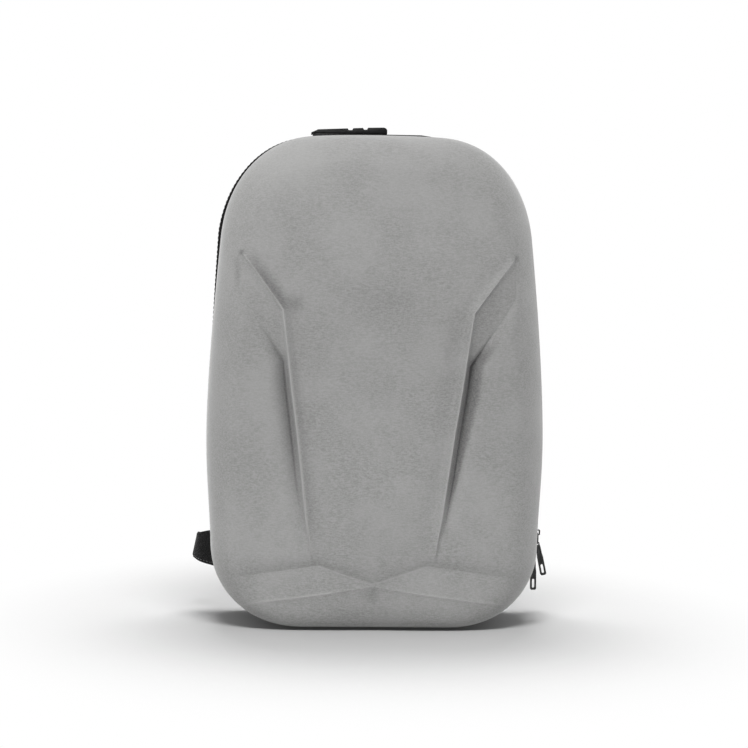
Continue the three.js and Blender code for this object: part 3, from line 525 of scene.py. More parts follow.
def front_shell_mesh():
    grid = shell_grid()
    x, z = grid[..., 0], grid[..., 1]
    dent = spot(x, z, DENT_AT, DENT_SPREAD)
    flat = np.clip(edge_distance(x, z) / WAVES_FROM_EDGE, 0, 1)
    depth = shell_depth(x, z) - DENT_DEPTH * dent
    depth += flat * sum(uneven(x, z, wave) for wave in shell_waves)
    lining = SHELL_WALL + np.maximum(depth - shell_depth(x, z, LINING_REACH), 0)
    # Pale lines of rubbing and painted highlight, and painted shade in the grooves, hollows and corners, kept
    # on each point for the material.
    pale_rub_highlight = rub_and_highlight(x, z)
    painted_shade = np.maximum.reduce([DENT_SHADE * dent, groove_shade(x, z), crest_shade(x, z), lip_shade(x, z)])
    for mark in shade_marks:
        painted_shade = np.maximum(painted_shade, mark.amount * spot(x, z, mark.at, mark.spread))
    slip_x, slip_z = lean(x, z)
    draft_x = 1 - SHELL_DRAFT / HALF_WIDTH
    draft_z = 1 - (SHELL_DRAFT + FOOT_DRAFT) / HEIGHT

    bm = bmesh.new()
    pale_rub_highlight_layer = bm.verts.layers.float.new("rub_and_highlight")
    painted_shade_layer = bm.verts.layers.float.new("painted_shade")
    lining_layer = bm.verts.layers.float.new("lining")
    rows, columns = x.shape
    bmesh.ops.create_grid(bm, x_segments=columns - 1, y_segments=rows - 1, size=1)
    for vert in bm.verts:
        c = round((vert.co.x + 1) / 2 * (columns - 1))
        r = round((vert.co.y + 1) / 2 * (rows - 1))
        vert[pale_rub_highlight_layer] = pale_rub_highlight[r, c]
        vert[painted_shade_layer] = painted_shade[r, c]
        vert[lining_layer] = lining[r, c]
        place_x = (x[r, c] + slip_x[r, c]) * draft_x
        place_z = FOOT_DRAFT + (z[r, c] + slip_z[r, c]) * draft_z
        vert.co = (place_x, RIM_Y - depth[r, c], place_z)

    rim = [edge for edge in bm.edges if edge.is_boundary]
    for step in range(WALL_STEPS):
        grown = bmesh.ops.extrude_edge_only(bm, edges=rim)["geom"]
        rim = [part for part in grown if isinstance(part, bmesh.types.BMEdge)]
        here, there = step / WALL_STEPS, (step + 1) / WALL_STEPS
        for vert in {vert for edge in rim for vert in edge.verts}:
            rim_z = (vert.co.z - (1 - here) * FOOT_DRAFT) / mix(draft_z, 1, here)
            vert.co.x *= mix(draft_x, 1, there) / mix(draft_x, 1, here)
            vert.co.z = (1 - there) * FOOT_DRAFT + rim_z * mix(draft_z, 1, there)
            vert.co.y += (RIM_Y - vert.co.y) / (WALL_STEPS - step)
    rim = [edge for edge in rim if edge.is_boundary]
    bmesh.ops.recalc_face_normals(bm, faces=bm.faces)

    inner = bmesh.ops.duplicate(bm, geom=bm.verts[:] + bm.edges[:] + bm.faces[:])["geom"]
    bmesh.ops.reverse_faces(bm, faces=[part for part in inner if isinstance(part, bmesh.types.BMFace)])
    for vert in (part for part in inner if isinstance(part, bmesh.types.BMVert)):
        back = RIM_Y - vert.co.y
        vert.co.x *= 1 - SHELL_WALL / HALF_WIDTH
        vert.co.z = SHELL_WALL + vert.co.z * (1 - 2 * SHELL_WALL / HEIGHT)
        vert.co.y += vert[lining_layer] * min(1, back / LINING_FADE)
    inner_rim = [part for part in inner if isinstance(part, bmesh.types.BMEdge) and part.is_boundary]
    bmesh.ops.bridge_loops(bm, edges=rim + inner_rim)
    return bm


def finish_mesh(name, bm, material):
    """Brings a mesh drawn in millimetres to metres and makes it an object with smooth faces."""
    bmesh.ops.scale(bm, vec=(MM, MM, MM), verts=bm.verts)
    mesh = bpy.data.meshes.new(name)
    bm.to_mesh(mesh)
    bm.free()
    mesh.shade_smooth()
    mesh.materials.append(material)
    piece = bpy.data.objects.new(name, mesh)
    bpy.context.scene.collection.objects.link(piece)
    return piece


def new_group(name, inputs, outputs):
    """A shader node group with number inputs, a vector input and number outputs."""
    group = bpy.data.node_groups.new(name, "ShaderNodeTree")
    group.interface.new_socket("Vector", in_out="INPUT", socket_type="NodeSocketVector")
    for socket in inputs:
        group.interface.new_socket(socket, in_out="INPUT", socket_type="NodeSocketFloat")
    for socket in outputs:
        group.interface.new_socket(socket, in_out="OUTPUT", socket_type="NodeSocketFloat")
    return group, group.nodes.new("NodeGroupInput").outputs, group.nodes.new("NodeGroupOutput").inputs


def add_node(tree, kind, inputs, **settings):
    """A node with its settings, and its inputs set to a value or linked to another node's output."""
    node = tree.nodes.new(kind)
    for name, value in settings.items():
        setattr(node, name, value)
    for name, value in inputs.items():
        if isinstance(value, bpy.types.NodeSocket):
            tree.links.new(value, node.inputs[name])
        else:
            node.inputs[name].default_value = value
    return node


def maths(tree, operation, first, second, third=0.0):
    node = add_node(tree, "ShaderNodeMath", {0: first, 1: second, 2: third}, operation=operation)
    return node.outputs[0]


def mixed(tree, share, low, high):
    """Two colours mixed by a share."""
    return add_node(tree, "ShaderNodeMix", {0: share, 6: low, 7: high}, data_type="RGBA").outputs[2]


def ramp(tree, value, low, high):
    """A value between two levels, brought to 0 to 1 with soft ends."""
    inputs = {"Value": value, "From Min": low, "From Max": high}
    return add_node(tree, "ShaderNodeMapRange", inputs, interpolation_type="SMOOTHSTEP").outputs[0]


# Short brushed fibres: fine specks with a soft lie across the cloth.
NAP_LIE = (0.35, 1.0, 1.6)
nap_group, nap_in, nap_out = new_group("brushed_nap", ["Fibres"], ["Tone", "Height"])
nap_fine = add_node(
    nap_group,
    "ShaderNodeTexNoise",
    {"Vector": nap_in["Vector"], "Scale": nap_in["Fibres"], "Detail": 3.0, "Roughness": 0.65},
)
nap_lie = add_node(nap_group, "ShaderNodeMapping", {"Vector": nap_in["Vector"], "Scale": NAP_LIE})
nap_long = add_node(
    nap_group,
    "ShaderNodeTexNoise",
    {"Vector": nap_lie.outputs[0], "Scale": nap_in["Fibres"], "Detail": 2.0},
)
nap_sum = maths(nap_group, "ADD", nap_fine.outputs[0], nap_long.outputs[0])
nap_mean = maths(nap_group, "MULTIPLY", nap_sum, 0.5)
nap_group.links.new(nap_mean, nap_out["Tone"])
nap_group.links.new(nap_mean, nap_out["Height"])

# Uneven dye and handling marks: wide soft clouds with smaller blotches inside.
cloud_group, cloud_in, cloud_out = new_group("soft_clouds", ["Size"], ["Tone"])
cloud_wide = add_node(
    cloud_group,
    "ShaderNodeTexNoise",
    {"Vector": cloud_in["Vector"], "Scale": cloud_in["Size"], "Detail": 4.0, "Roughness": 0.55},
)
cloud_group.links.new(cloud_wide.outputs[0], cloud_out["Tone"])


def place_group(tree, group, vector, **values):
    node = tree.nodes.new("ShaderNodeGroup")
    node.node_tree = group
    tree.links.new(vector, node.inputs["Vector"])
    for name, value in values.items():
        node.inputs[name].default_value = value
    return node.outputs


def new_material(name):
    material = bpy.data.materials.new(name)
    material.use_nodes = True
    tree = material.node_tree
    shader = tree.nodes["Principled BSDF"]
    place = tree.nodes.new("ShaderNodeTexCoord").outputs["Object"]
    return material, tree, shader, place


def bump_from(tree, height, distance, strength=1.0):
    inputs = {"Height": height, "Distance": distance, "Strength": strength}
    return add_node(tree, "ShaderNodeBump", inputs).outputs[0]


SHELL_GREY = (0.2, 0.2, 0.196, 1)
SHELL_CLOUD = (0.245, 0.244, 0.241, 1)
SHELL_PALE = (0.285, 0.285, 0.282, 1)
SHELL_RUB_HIGHLIGHT = (0.32, 0.32, 0.315, 1)
SHELL_DARK = (0.185, 0.185, 0.183, 1)
SHELL_SHADE = (0.07, 0.069, 0.069, 1)
BLOTCH_AMOUNT = 0.3
FIBRE_AMOUNT = 0.85
RUB_HIGHLIGHT_AMOUNT = 0.75
SHADE_BASE = 1.25
SHADE_BY_FIBRE = -1.2


def shell_material():
    """Brushed fabric: dye clouds, blotches and pale fibres, with painted shade that is stronger between the
    fibres, and pale edges that are partly rubbing and partly painted highlight.
    """
    material, tree, shader, place = new_material("brushed_grey_fabric")
    nap = place_group(tree, nap_group, place, Fibres=680)
    clouds = place_group(tree, cloud_group, place, Size=16)
    blotches = place_group(tree, cloud_group, place, Size=75)
    # Attributes: pale lines of rubbing and painted highlight, and painted shade.
    pale_rub_highlight = add_node(tree, "ShaderNodeAttribute", {}, attribute_name="rub_and_highlight").outputs["Fac"]
    painted_shade = add_node(tree, "ShaderNodeAttribute", {}, attribute_name="painted_shade").outputs["Fac"]
    colour = mixed(tree, ramp(tree, clouds["Tone"], 0.38, 0.68), SHELL_GREY, SHELL_CLOUD)
    blotch = maths(tree, "MULTIPLY", ramp(tree, blotches["Tone"], 0.5, 0.75), BLOTCH_AMOUNT)
    colour = mixed(tree, blotch, colour, SHELL_DARK)
    fibre = maths(tree, "MULTIPLY", ramp(tree, nap["Tone"], 0.35, 0.65), FIBRE_AMOUNT)
    colour = mixed(tree, fibre, colour, SHELL_PALE)
    # Painted shade, stronger between the fibres, then the pale lines of rubbing and painted highlight.
    between = maths(tree, "MULTIPLY_ADD", nap["Tone"], SHADE_BY_FIBRE, SHADE_BASE)
    colour = mixed(tree, maths(tree, "MULTIPLY", painted_shade, between), colour, SHELL_SHADE)
    colour = mixed(tree, maths(tree, "MULTIPLY", pale_rub_highlight, RUB_HIGHLIGHT_AMOUNT), colour, SHELL_RUB_HIGHLIGHT)
    tree.links.new(colour, shader.inputs["Base Color"])
    tree.links.new(bump_from(tree, nap["Height"], 0.0006, 0.35), shader.inputs["Normal"])
    shader.inputs["Roughness"].default_value = 0.92
    shader.inputs["Specular IOR Level"].default_value = 0.2
    shader.inputs["Sheen Weight"].default_value = 0.25
    shader.inputs["Sheen Roughness"].default_value = 0.45
    return material


shell = finish_mesh("moulded_front_shell", front_shell_mesh(), shell_material())
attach(shell, "root")
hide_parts("front_shell")

# Zip: a woven tape with a nylon coil along its middle, sewn to the shell's rim and to the gusset.
# It runs all the way round the bag, so the shell opens like a lid.
GAP = 0.3
ZIP_WIDTH = 16
ZIP_INSET = 1.8
ZIP_TAPE = 1.2
COIL_WIDTH = 5.4
COIL_PITCH = 1.55
COIL_RADIUS = 0.72
COIL_SWAY = 0.45
BAR_SIDES = 6
BAR_RINGS = 5
OUTLINE_FACES = 560
SEAM_MERGE = 0.01


def outline_path(share):
    """Points (x, z) of the whole outline at shares of its length, from the foot's middle to the right."""
    whole = np.vstack([outline, outline[-2::-1] * (-1, 1)])
    run = np.append(0, np.cumsum(np.linalg.norm(np.diff(whole, axis=0), axis=1)))
    return np.stack([np.interp(share * run[-1], run, whole[:, axis]) for axis in (0, 1)], axis=-1)


OUTLINE_LENGTH = float(np.linalg.norm(np.diff(outline, axis=0), axis=1).sum() * 2)


def inset_points(points, inset):
    """Points (x, z) drawn in towards the middle by the inset."""
    x = points[:, 0] * (1 - inset / HALF_WIDTH)
    return x, inset + points[:, 1] * (1 - 2 * inset / HEIGHT)


def laid_flat(points, axis):
    """Mean distances from the first line of a grid of points to its other lines, in metres."""
    steps = np.linalg.norm(np.diff(points, axis=axis), axis=2).mean(axis=1 - axis)
    return np.append(0, np.cumsum(steps)) * MM


def wrapped_grid(across, along, place, sewn=None):
    """A grid whose points go where place(u, v) puts them, with merged seams.

    Its UV map is the cloth laid flat. sewn(u, v) gives the points that stitches hold, where a pad is
    filled later.
    """
    bm = bmesh.new()
    sewn_layer = bm.verts.layers.float.new("sewn")
    bmesh.ops.create_grid(bm, x_segments=across, y_segments=along, size=0.5)
    bm.verts.index_update()
    u, v = np.array([vert.co[:2] for vert in bm.verts]).T + 0.5
    columns, rows = np.round(u * across).astype(int), np.round(v * along).astype(int)
    points = place(u, v)
    spread = np.zeros((along + 1, across + 1, 3))
    spread[rows, columns] = points
    flat_across, flat_along = laid_flat(spread, 1)[columns], laid_flat(spread, 0)[rows]
    uv_layer = bm.loops.layers.uv.new("cloth")
    for face in bm.faces:
        for loop in face.loops:
            loop[uv_layer].uv = (flat_across[loop.vert.index], flat_along[loop.vert.index])
    held = sewn(u, v) if sewn else np.zeros_like(u)
    for vert, point, hold in zip(bm.verts, points, held):
        vert.co = point
        vert[sewn_layer] = hold
    bmesh.ops.remove_doubles(bm, verts=bm.verts, dist=SEAM_MERGE)
    bmesh.ops.recalc_face_normals(bm, faces=bm.faces)
    return bm


TAPE_RIB = ZIP_INSET - 0.15
TAPE_BED = ZIP_INSET + 0.2
TapeCorner = namedtuple("TapeCorner", "back inset")
tape_corners = [
    TapeCorner(GAP, ZIP_INSET),
    TapeCorner(1.4, TAPE_RIB),
    TapeCorner(4.6, TAPE_RIB),
    TapeCorner(5.4, TAPE_BED),
    TapeCorner(10.6, TAPE_BED),
    TapeCorner(11.4, TAPE_RIB),
    TapeCorner(14.9, TAPE_RIB),
    TapeCorner(ZIP_WIDTH, ZIP_INSET),
    TapeCorner(ZIP_WIDTH, ZIP_INSET + ZIP_TAPE),
    TapeCorner(GAP, ZIP_INSET + ZIP_TAPE),
]


def place_tape(u, v):
    corner = np.round(u * len(tape_corners)).astype(int) % len(tape_corners)
    x, z = inset_points(outline_path(v), np.array([row.inset for row in tape_corners])[corner])
    return np.stack([x, RIM_Y + np.array([row.back for row in tape_corners])[corner], z], axis=-1)


# Plain weave: two sets of threads that pass over and under each other.
weave_group, weave_in, weave_out = new_group("plain_weave", ["Threads"], ["Tone", "Height"])
weave_split = add_node(weave_group, "ShaderNodeSeparateXYZ", {0: weave_in["Vector"]})
weave_runs = [
    maths(weave_group, "MULTIPLY", weave_split.outputs[axis], weave_in["Threads"]) for axis in (0, 1)
]
weave_cells = [maths(weave_group, "FLOOR", run, 0) for run in weave_runs]
weave_over = maths(weave_group, "FLOORED_MODULO", maths(weave_group, "ADD", *weave_cells), 2)
weave_arcs = []
for weave_run in weave_runs:
    swing = maths(weave_group, "SINE", maths(weave_group, "MULTIPLY", weave_run, math.pi), 0)
    weave_arcs.append(maths(weave_group, "ABSOLUTE", swing, 0))
weave_under = maths(weave_group, "SUBTRACT", 1, weave_over)
weave_warp = maths(weave_group, "MULTIPLY", weave_arcs[0], weave_over)
weave_sum = maths(weave_group, "MULTIPLY_ADD", weave_arcs[1], weave_under, weave_warp)
weave_group.links.new(weave_sum, weave_out["Height"])
weave_group.links.new(weave_over, weave_out["Tone"])


def cloth_material(name, dark, pale, threads, relief, roughness=0.85):
    """Black woven cloth that follows the piece's own UV map."""
    material, tree, shader, place = new_material(name)
    cloth = add_node(tree, "ShaderNodeUVMap", {}, uv_map="cloth").outputs[0]
    weave = place_group(tree, weave_group, cloth, Threads=threads)
    clouds = place_group(tree, cloud_group, place, Size=35)
    nap = place_group(tree, nap_group, place, Fibres=1600)
    shade = maths(tree, "MULTIPLY_ADD", weave["Height"], 0.5, maths(tree, "MULTIPLY", nap["Tone"], 0.5))
    colour = mixed(tree, ramp(tree, shade, 0.2, 0.8), dark, pale)
    lint = maths(tree, "MULTIPLY", ramp(tree, clouds["Tone"], 0.5, 0.8), 0.35)
    tree.links.new(mixed(tree, lint, colour, pale), shader.inputs["Base Color"])
    tree.links.new(bump_from(tree, weave["Height"], relief), shader.inputs["Normal"])
    shader.inputs["Roughness"].default_value = roughness
    shader.inputs["Specular IOR Level"].default_value = 0.15
    shader.inputs["Sheen Weight"].default_value = 0.03
    return material


TAPE_DARK = (0.005, 0.005, 0.005, 1)
TAPE_PALE = (0.012, 0.012, 0.012, 1)
tape_cloth = cloth_material("zip_tape_weave", TAPE_DARK, TAPE_PALE, threads=1500, relief=0.0003)
tape_grid = wrapped_grid(len(tape_corners), OUTLINE_FACES, place_tape)
tape = finish_mesh("zip_tape_band", tape_grid, tape_cloth)
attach(tape, "root")
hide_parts("zip_tape")


def hard_material(name, dark, pale, roughness, specular=0.3, grain=900):
    """Black plastic or plated metal with fine pitting, faint scuffs and uneven gloss."""
    material, tree, shader, place = new_material(name)
    pits = place_group(tree, nap_group, place, Fibres=grain)
    scuffs = place_group(tree, cloud_group, place, Size=220)
    scuffed = ramp(tree, scuffs["Tone"], 0.52, 0.74)
    tree.links.new(mixed(tree, scuffed, dark, pale), shader.inputs["Base Color"])
    gloss = maths(tree, "MULTIPLY_ADD", scuffed, 0.18, roughness)
    tree.links.new(gloss, shader.inputs["Roughness"])
    tree.links.new(bump_from(tree, pits["Height"], 0.00012, 0.5), shader.inputs["Normal"])
    shader.inputs["Specular IOR Level"].default_value = specular
    return material


def bars_along(places, length, thickness):
    """One mesh of small rounded bars. Each place is a middle, the direction of the bar and the way out."""
    placed = []
    for middle, along, out in places:
        along = Vector(along).normalized()
        across = along.cross(Vector(out)).normalized()
        placed.append((middle, Matrix((across, along.cross(across), along)).transposed()))
    bm = bmesh.new()
    number = bm.verts.layers.int.new("bar")
    bmesh.ops.create_uvsphere(bm, u_segments=BAR_SIDES, v_segments=BAR_RINGS, radius=0.5)
    bmesh.ops.scale(bm, vec=(thickness, thickness, length), verts=bm.verts)
    made = 1
    while made < len(placed):
        missing = len(placed) - made
        copied = [vert for vert in bm.verts if vert[number] < missing]
        copied += [face for face in bm.faces if face.verts[0][number] < missing]
        for part in bmesh.ops.duplicate(bm, geom=copied)["geom"]:
            if isinstance(part, bmesh.types.BMVert):
                part[number] += made
        made += min(made, missing)
    for vert in bm.verts:
        middle, turn = placed[vert[number]]
        vert.co = middle + turn @ vert.co
    bm.verts.layers.int.remove(number)
    return bm


def coil_places():
    count = round(OUTLINE_LENGTH / COIL_PITCH)
    shares = (np.arange(count) + 0.5) / count
    x, z = inset_points(outline_path(shares), ZIP_INSET - COIL_RADIUS)
    ahead_x, ahead_z = inset_points(outline_path((shares + 0.5 / count) % 1), ZIP_INSET - COIL_RADIUS)
    for i in range(count):
        sway = COIL_SWAY if i % 2 else -COIL_SWAY
        out = Vector((ahead_z[i] - z[i], 0, x[i] - ahead_x[i]))
        yield Vector((x[i], RIM_Y + ZIP_WIDTH / 2 + sway, z[i])), (0, 1, 0), out


COIL_DARK = (0.006, 0.006, 0.006, 1)
COIL_PALE = (0.015, 0.015, 0.015, 1)
coil_nylon = hard_material("coil_nylon", COIL_DARK, COIL_PALE, roughness=0.38)
coil_mesh = bars_along(coil_places(), COIL_WIDTH - 2 * COIL_SWAY, 2 * COIL_RADIUS)
coil = finish_mesh("zip_coil", coil_mesh, coil_nylon)
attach(coil, "root")

# Gusset: the black woven side band behind the zip. Its cut edges are turned in and sewn down,
# so a raised hem with a row of stitches runs along both of them.
GUSSET_FRONT = ZIP_WIDTH + GAP
GUSSET_BACK = 60
GUSSET_WALL = 3
GUSSET_SIDE_WALL = 3.5
GUSSET_FACES = 24
GUSSET_AROUND = GUSSET_FACES + 3
GUSSET_LEAN = 1.7
GUSSET_LEAN_FROM = 150
GUSSET_LEAN_RUN = 150
GUSSET_EDGE = 0.5
GUSSET_EDGE_FOOT = 40
GUSSET_WAVE = Wave(0.9, 26, 5.2)
GUSSET_WAVE_RUN = 8
GUSSET_WAVE_FOOT = 30
HEM_WIDTH = 6
HEM_RISE = 0.45
HEM_SOFT = 1.2
HEM_FOOT = 15
HEM_STITCH = 4
STITCH_LENGTH = 3.2
STITCH_PITCH = 4.6
STITCH_THICK = 0.7
STITCH_AHEAD = 0.2
GussetRow = namedtuple("GussetRow", "z inset")
gusset_rows = [
    GussetRow(0, 0),
    GussetRow(40, 1.5),
    GussetRow(120, 3),
    GussetRow(230, 3),
    GussetRow(310, 1),
    GussetRow(385, -1.6),
    GussetRow(445, -1),
    GussetRow(480, -1.4),
]


def gusset_lean(z):
    """How far the soft band has settled to the left, by height."""
    return -GUSSET_LEAN * smooth((z - GUSSET_LEAN_FROM) / GUSSET_LEAN_RUN)


def gusset_skin(share, back):
    """Points of the gusset's outside at shares of the outline and distances behind the rim."""
    points = outline_path(share)
    depth = (back - GUSSET_FRONT) / (GUSSET_BACK - GUSSET_FRONT)
    hem = np.minimum(back - GUSSET_FRONT, GUSSET_BACK - back)
    up = points[:, 1]
    inset = read(gusset_rows, "z", "inset", up)
    inset += GUSSET_EDGE * np.clip(up / GUSSET_EDGE_FOOT, 0, 1) * (2 * depth - 1) ** 2
    inset -= HEM_RISE * smooth((HEM_WIDTH - hem) / HEM_SOFT) * np.clip(up / HEM_FOOT, 0, 1)
    middle = smooth((hem - HEM_WIDTH) / GUSSET_WAVE_RUN) * np.clip(up / GUSSET_WAVE_FOOT, 0, 1)
    inset += middle * uneven(share * OUTLINE_LENGTH, back, GUSSET_WAVE)
    x, z = inset_points(points, inset)
    return np.stack([x + gusset_lean(z), RIM_Y + back, np.maximum(z, 0)], axis=-1)


def place_gusset(u, v):
    turn = u * GUSSET_AROUND
    back = mix(GUSSET_FRONT, GUSSET_BACK, np.clip(turn / GUSSET_FACES, 0, 1))
    back = np.where(turn > GUSSET_FACES + 1.5, GUSSET_FRONT, back)
    skin = gusset_skin(v, back)
    inside = (turn > GUSSET_FACES + 0.5) & (turn < GUSSET_FACES + 2.5)
    skin[inside, 0] *= 1 - GUSSET_SIDE_WALL / HALF_WIDTH
    skin[inside, 2] = GUSSET_WALL + skin[inside, 2] * (1 - 2 * GUSSET_WALL / HEIGHT)
    return skin


def gusset_stitches():
    count = round(OUTLINE_LENGTH / STITCH_PITCH)
    shares = (np.arange(count) + 0.5) / count
    for back in (GUSSET_FRONT + HEM_STITCH, GUSSET_BACK - HEM_STITCH):
        here = gusset_skin(shares, np.full(count, back))
        ahead = gusset_skin((shares + STITCH_AHEAD / count) % 1, np.full(count, back))
        for start, end in zip(here, ahead):
            along = Vector(end - start)
            if start[2] > STITCH_LENGTH:
                yield Vector(start), along, along.cross(Vector((0, 1, 0)))


GUSSET_DARK = (0.005, 0.005, 0.0052, 1)
GUSSET_PALE = (0.014, 0.014, 0.0143, 1)
side_cloth = cloth_material("gusset_cloth", GUSSET_DARK, GUSSET_PALE, threads=1000, relief=0.0004)
gusset_grid = wrapped_grid(GUSSET_AROUND, OUTLINE_FACES, place_gusset)
gusset = finish_mesh("cloth_side_gusset", gusset_grid, side_cloth)
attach(gusset, "root")
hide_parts("side_gusset")

THREAD_DARK = (0.014, 0.014, 0.014, 1)
THREAD_PALE = (0.035, 0.035, 0.035, 1)
thread = hard_material("sewing_thread", THREAD_DARK, THREAD_PALE, roughness=0.6, grain=2500)
seam_mesh = bars_along(gusset_stitches(), STITCH_LENGTH, STITCH_THICK)
gusset_seams = finish_mesh("gusset_stitching", seam_mesh, thread)
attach(gusset_seams, "root")

# Back panel: foam under black knitted spacer mesh, with a cloth border that is sewn to the gusset.
# The seam round the pad pulls the foam down, and the pad swells inside it.
PANEL_FRONT = GUSSET_BACK + GAP
PANEL_THICK = 12
PANEL_FACE = RIM_Y + GUSSET_BACK + PANEL_THICK
PANEL_SEAM = 20
PANEL_COLUMNS = 96
PANEL_ROWS = 132
PANEL_SWELL = 2.2
PANEL_CROWDING = 0.75
PANEL_ARCH_FROM = 440
PANEL_WAVE = Wave(0.5, 45, 1.7)
PANEL_WAVE_RUN = 30
PANEL_EDGE = 0.6
PANEL_EDGE_RUN = 12
PANEL_HELD = PANEL_SEAM + 3
STRAP_FOOT = {"x": (18, 82), "z": (398, 446)}
PanelRow = namedtuple("PanelRow", "inside back")
panel_rows = [
    PanelRow(0, GUSSET_BACK + 5),
    PanelRow(1, GUSSET_BACK + 7),
    PanelRow(3.4, GUSSET_BACK + 8.6),
    PanelRow(9, GUSSET_BACK + 9.8),
    PanelRow(PANEL_SEAM - 3, GUSSET_BACK + 9.6),
    PanelRow(PANEL_SEAM, GUSSET_BACK + 7.8),
    PanelRow(PANEL_SEAM + 4, GUSSET_BACK + 10),
    PanelRow(PANEL_SEAM + 14, GUSSET_BACK + 11.6),
    PanelRow(80, GUSSET_BACK + PANEL_THICK),
]


def panel_grid():
    """Places (x, z) that fill the outline, closer together towards its edge."""
    v = np.linspace(0, 1, PANEL_ROWS + 1)[:, None]
    u = np.linspace(-1, 1, PANEL_COLUMNS + 1)[None, :]
    z = TOP_SHOULDER * mix(v, (1 - np.cos(v * math.pi)) / 2, PANEL_CROWDING)
    reach = half_width(z)
    x = reach * mix(u, np.sin(u * math.pi / 2), PANEL_CROWDING)
    arch = arch_height(TOP_FLAT * np.abs(x) / reach) - TOP_SHOULDER
    return x, z + arch * smooth((z - PANEL_ARCH_FROM) / (TOP_SHOULDER - PANEL_ARCH_FROM))


def back_panel_mesh():
    x, z = panel_grid()
    inside = edge_distance(x, z)
    rise = read(panel_rows, "inside", "back", inside)
    rise += smooth((inside - PANEL_SEAM) / PANEL_WAVE_RUN) * uneven(x, z, PANEL_WAVE)
    own = read(gusset_rows, "z", "inset", z) * np.clip(1 - inside / PANEL_EDGE_RUN, 0, 1) + PANEL_EDGE
    under_strap = np.ones(x.shape, bool)
    for places, (low, high) in ((np.abs(x), STRAP_FOOT["x"]), (z, STRAP_FOOT["z"])):
        under_strap &= (places > low) & (places < high)
    bm = bmesh.new()
    pad_layer = bm.verts.layers.float.new("pad")
    sewn_layer = bm.verts.layers.float.new("sewn")
    uv_layer = bm.loops.layers.uv.new("cloth")
    bmesh.ops.create_grid(bm, x_segments=PANEL_COLUMNS, y_segments=PANEL_ROWS, size=0.5)
    for vert in bm.verts:
        c = round((vert.co.x + 0.5) * PANEL_COLUMNS)
        r = round((vert.co.y + 0.5) * PANEL_ROWS)
        vert[pad_layer] = float(inside[r, c] > PANEL_SEAM)
        vert[sewn_layer] = float(inside[r, c] < PANEL_HELD or under_strap[r, c])
        place_x = x[r, c] * (1 - own[r, c] / HALF_WIDTH) + gusset_lean(z[r, c])
        place_z = own[r, c] + z[r, c] * (1 - 2 * own[r, c] / HEIGHT)
        vert.co = (place_x, RIM_Y + rise[r, c], max(0, place_z))
    for face in bm.faces:
        for loop in face.loops:
            loop[uv_layer].uv = (loop.vert.co.x * MM, loop.vert.co.z * MM)
    rim = [edge for edge in bm.edges if edge.is_boundary]
    grown = bmesh.ops.extrude_edge_only(bm, edges=rim)["geom"]
    for vert in (part for part in grown if isinstance(part, bmesh.types.BMVert)):
        vert.co.y = RIM_Y + PANEL_FRONT
    bmesh.ops.holes_fill(bm, edges=[edge for edge in bm.edges if edge.is_boundary])
    bmesh.ops.recalc_face_normals(bm, faces=bm.faces)
    return bm


BORDER_DARK = (0.005, 0.005, 0.0052, 1)
BORDER_PALE = (0.013, 0.013, 0.0133, 1)
KNIT_HOLES = 330
KNIT_HOLE = (0.002, 0.002, 0.002, 1)
KNIT_YARN = (0.016, 0.016, 0.0165, 1)
PANEL_LINT = (0.022, 0.022, 0.022, 1)


def panel_material():
    """Cloth border, and a knitted mesh with rows of small holes on the pad."""
    material, tree, shader, place = new_material("spacer_mesh")
    cloth = add_node(tree, "ShaderNodeUVMap", {}, uv_map="cloth").outputs[0]
    weave = place_group(tree, weave_group, cloth, Threads=1000)
    knit_rows = {"Vector": cloth, "Scale": KNIT_HOLES, "Randomness": 0.12}
    holes = add_node(tree, "ShaderNodeTexVoronoi", knit_rows)
    net = ramp(tree, holes.outputs["Distance"], 0.15, 0.5)
    pad = add_node(tree, "ShaderNodeAttribute", {}, attribute_name="pad").outputs["Fac"]
    clouds = place_group(tree, cloud_group, place, Size=30)
    border = mixed(tree, weave["Height"], BORDER_DARK, BORDER_PALE)
    knit = mixed(tree, net, KNIT_HOLE, KNIT_YARN)
    colour = mixed(tree, pad, border, knit)
    lint = maths(tree, "MULTIPLY", ramp(tree, clouds["Tone"], 0.5, 0.8), 0.3)
    tree.links.new(mixed(tree, lint, colour, PANEL_LINT), shader.inputs["Base Color"])
    knit_over = maths(tree, "SUBTRACT", net, weave["Height"])
    height = maths(tree, "MULTIPLY_ADD", pad, knit_over, weave["Height"])
    tree.links.new(bump_from(tree, height, 0.0008), shader.inputs["Normal"])
    shader.inputs["Roughness"].default_value = 0.9
    shader.inputs["Specular IOR Level"].default_value = 0.15
    shader.inputs["Sheen Weight"].default_value = 0.03
    return material


SAME_PLACE = 0.0001
FILL_PRESSURE = 4
FILL_FRAMES = 20
FILL_SLACK = 0.02


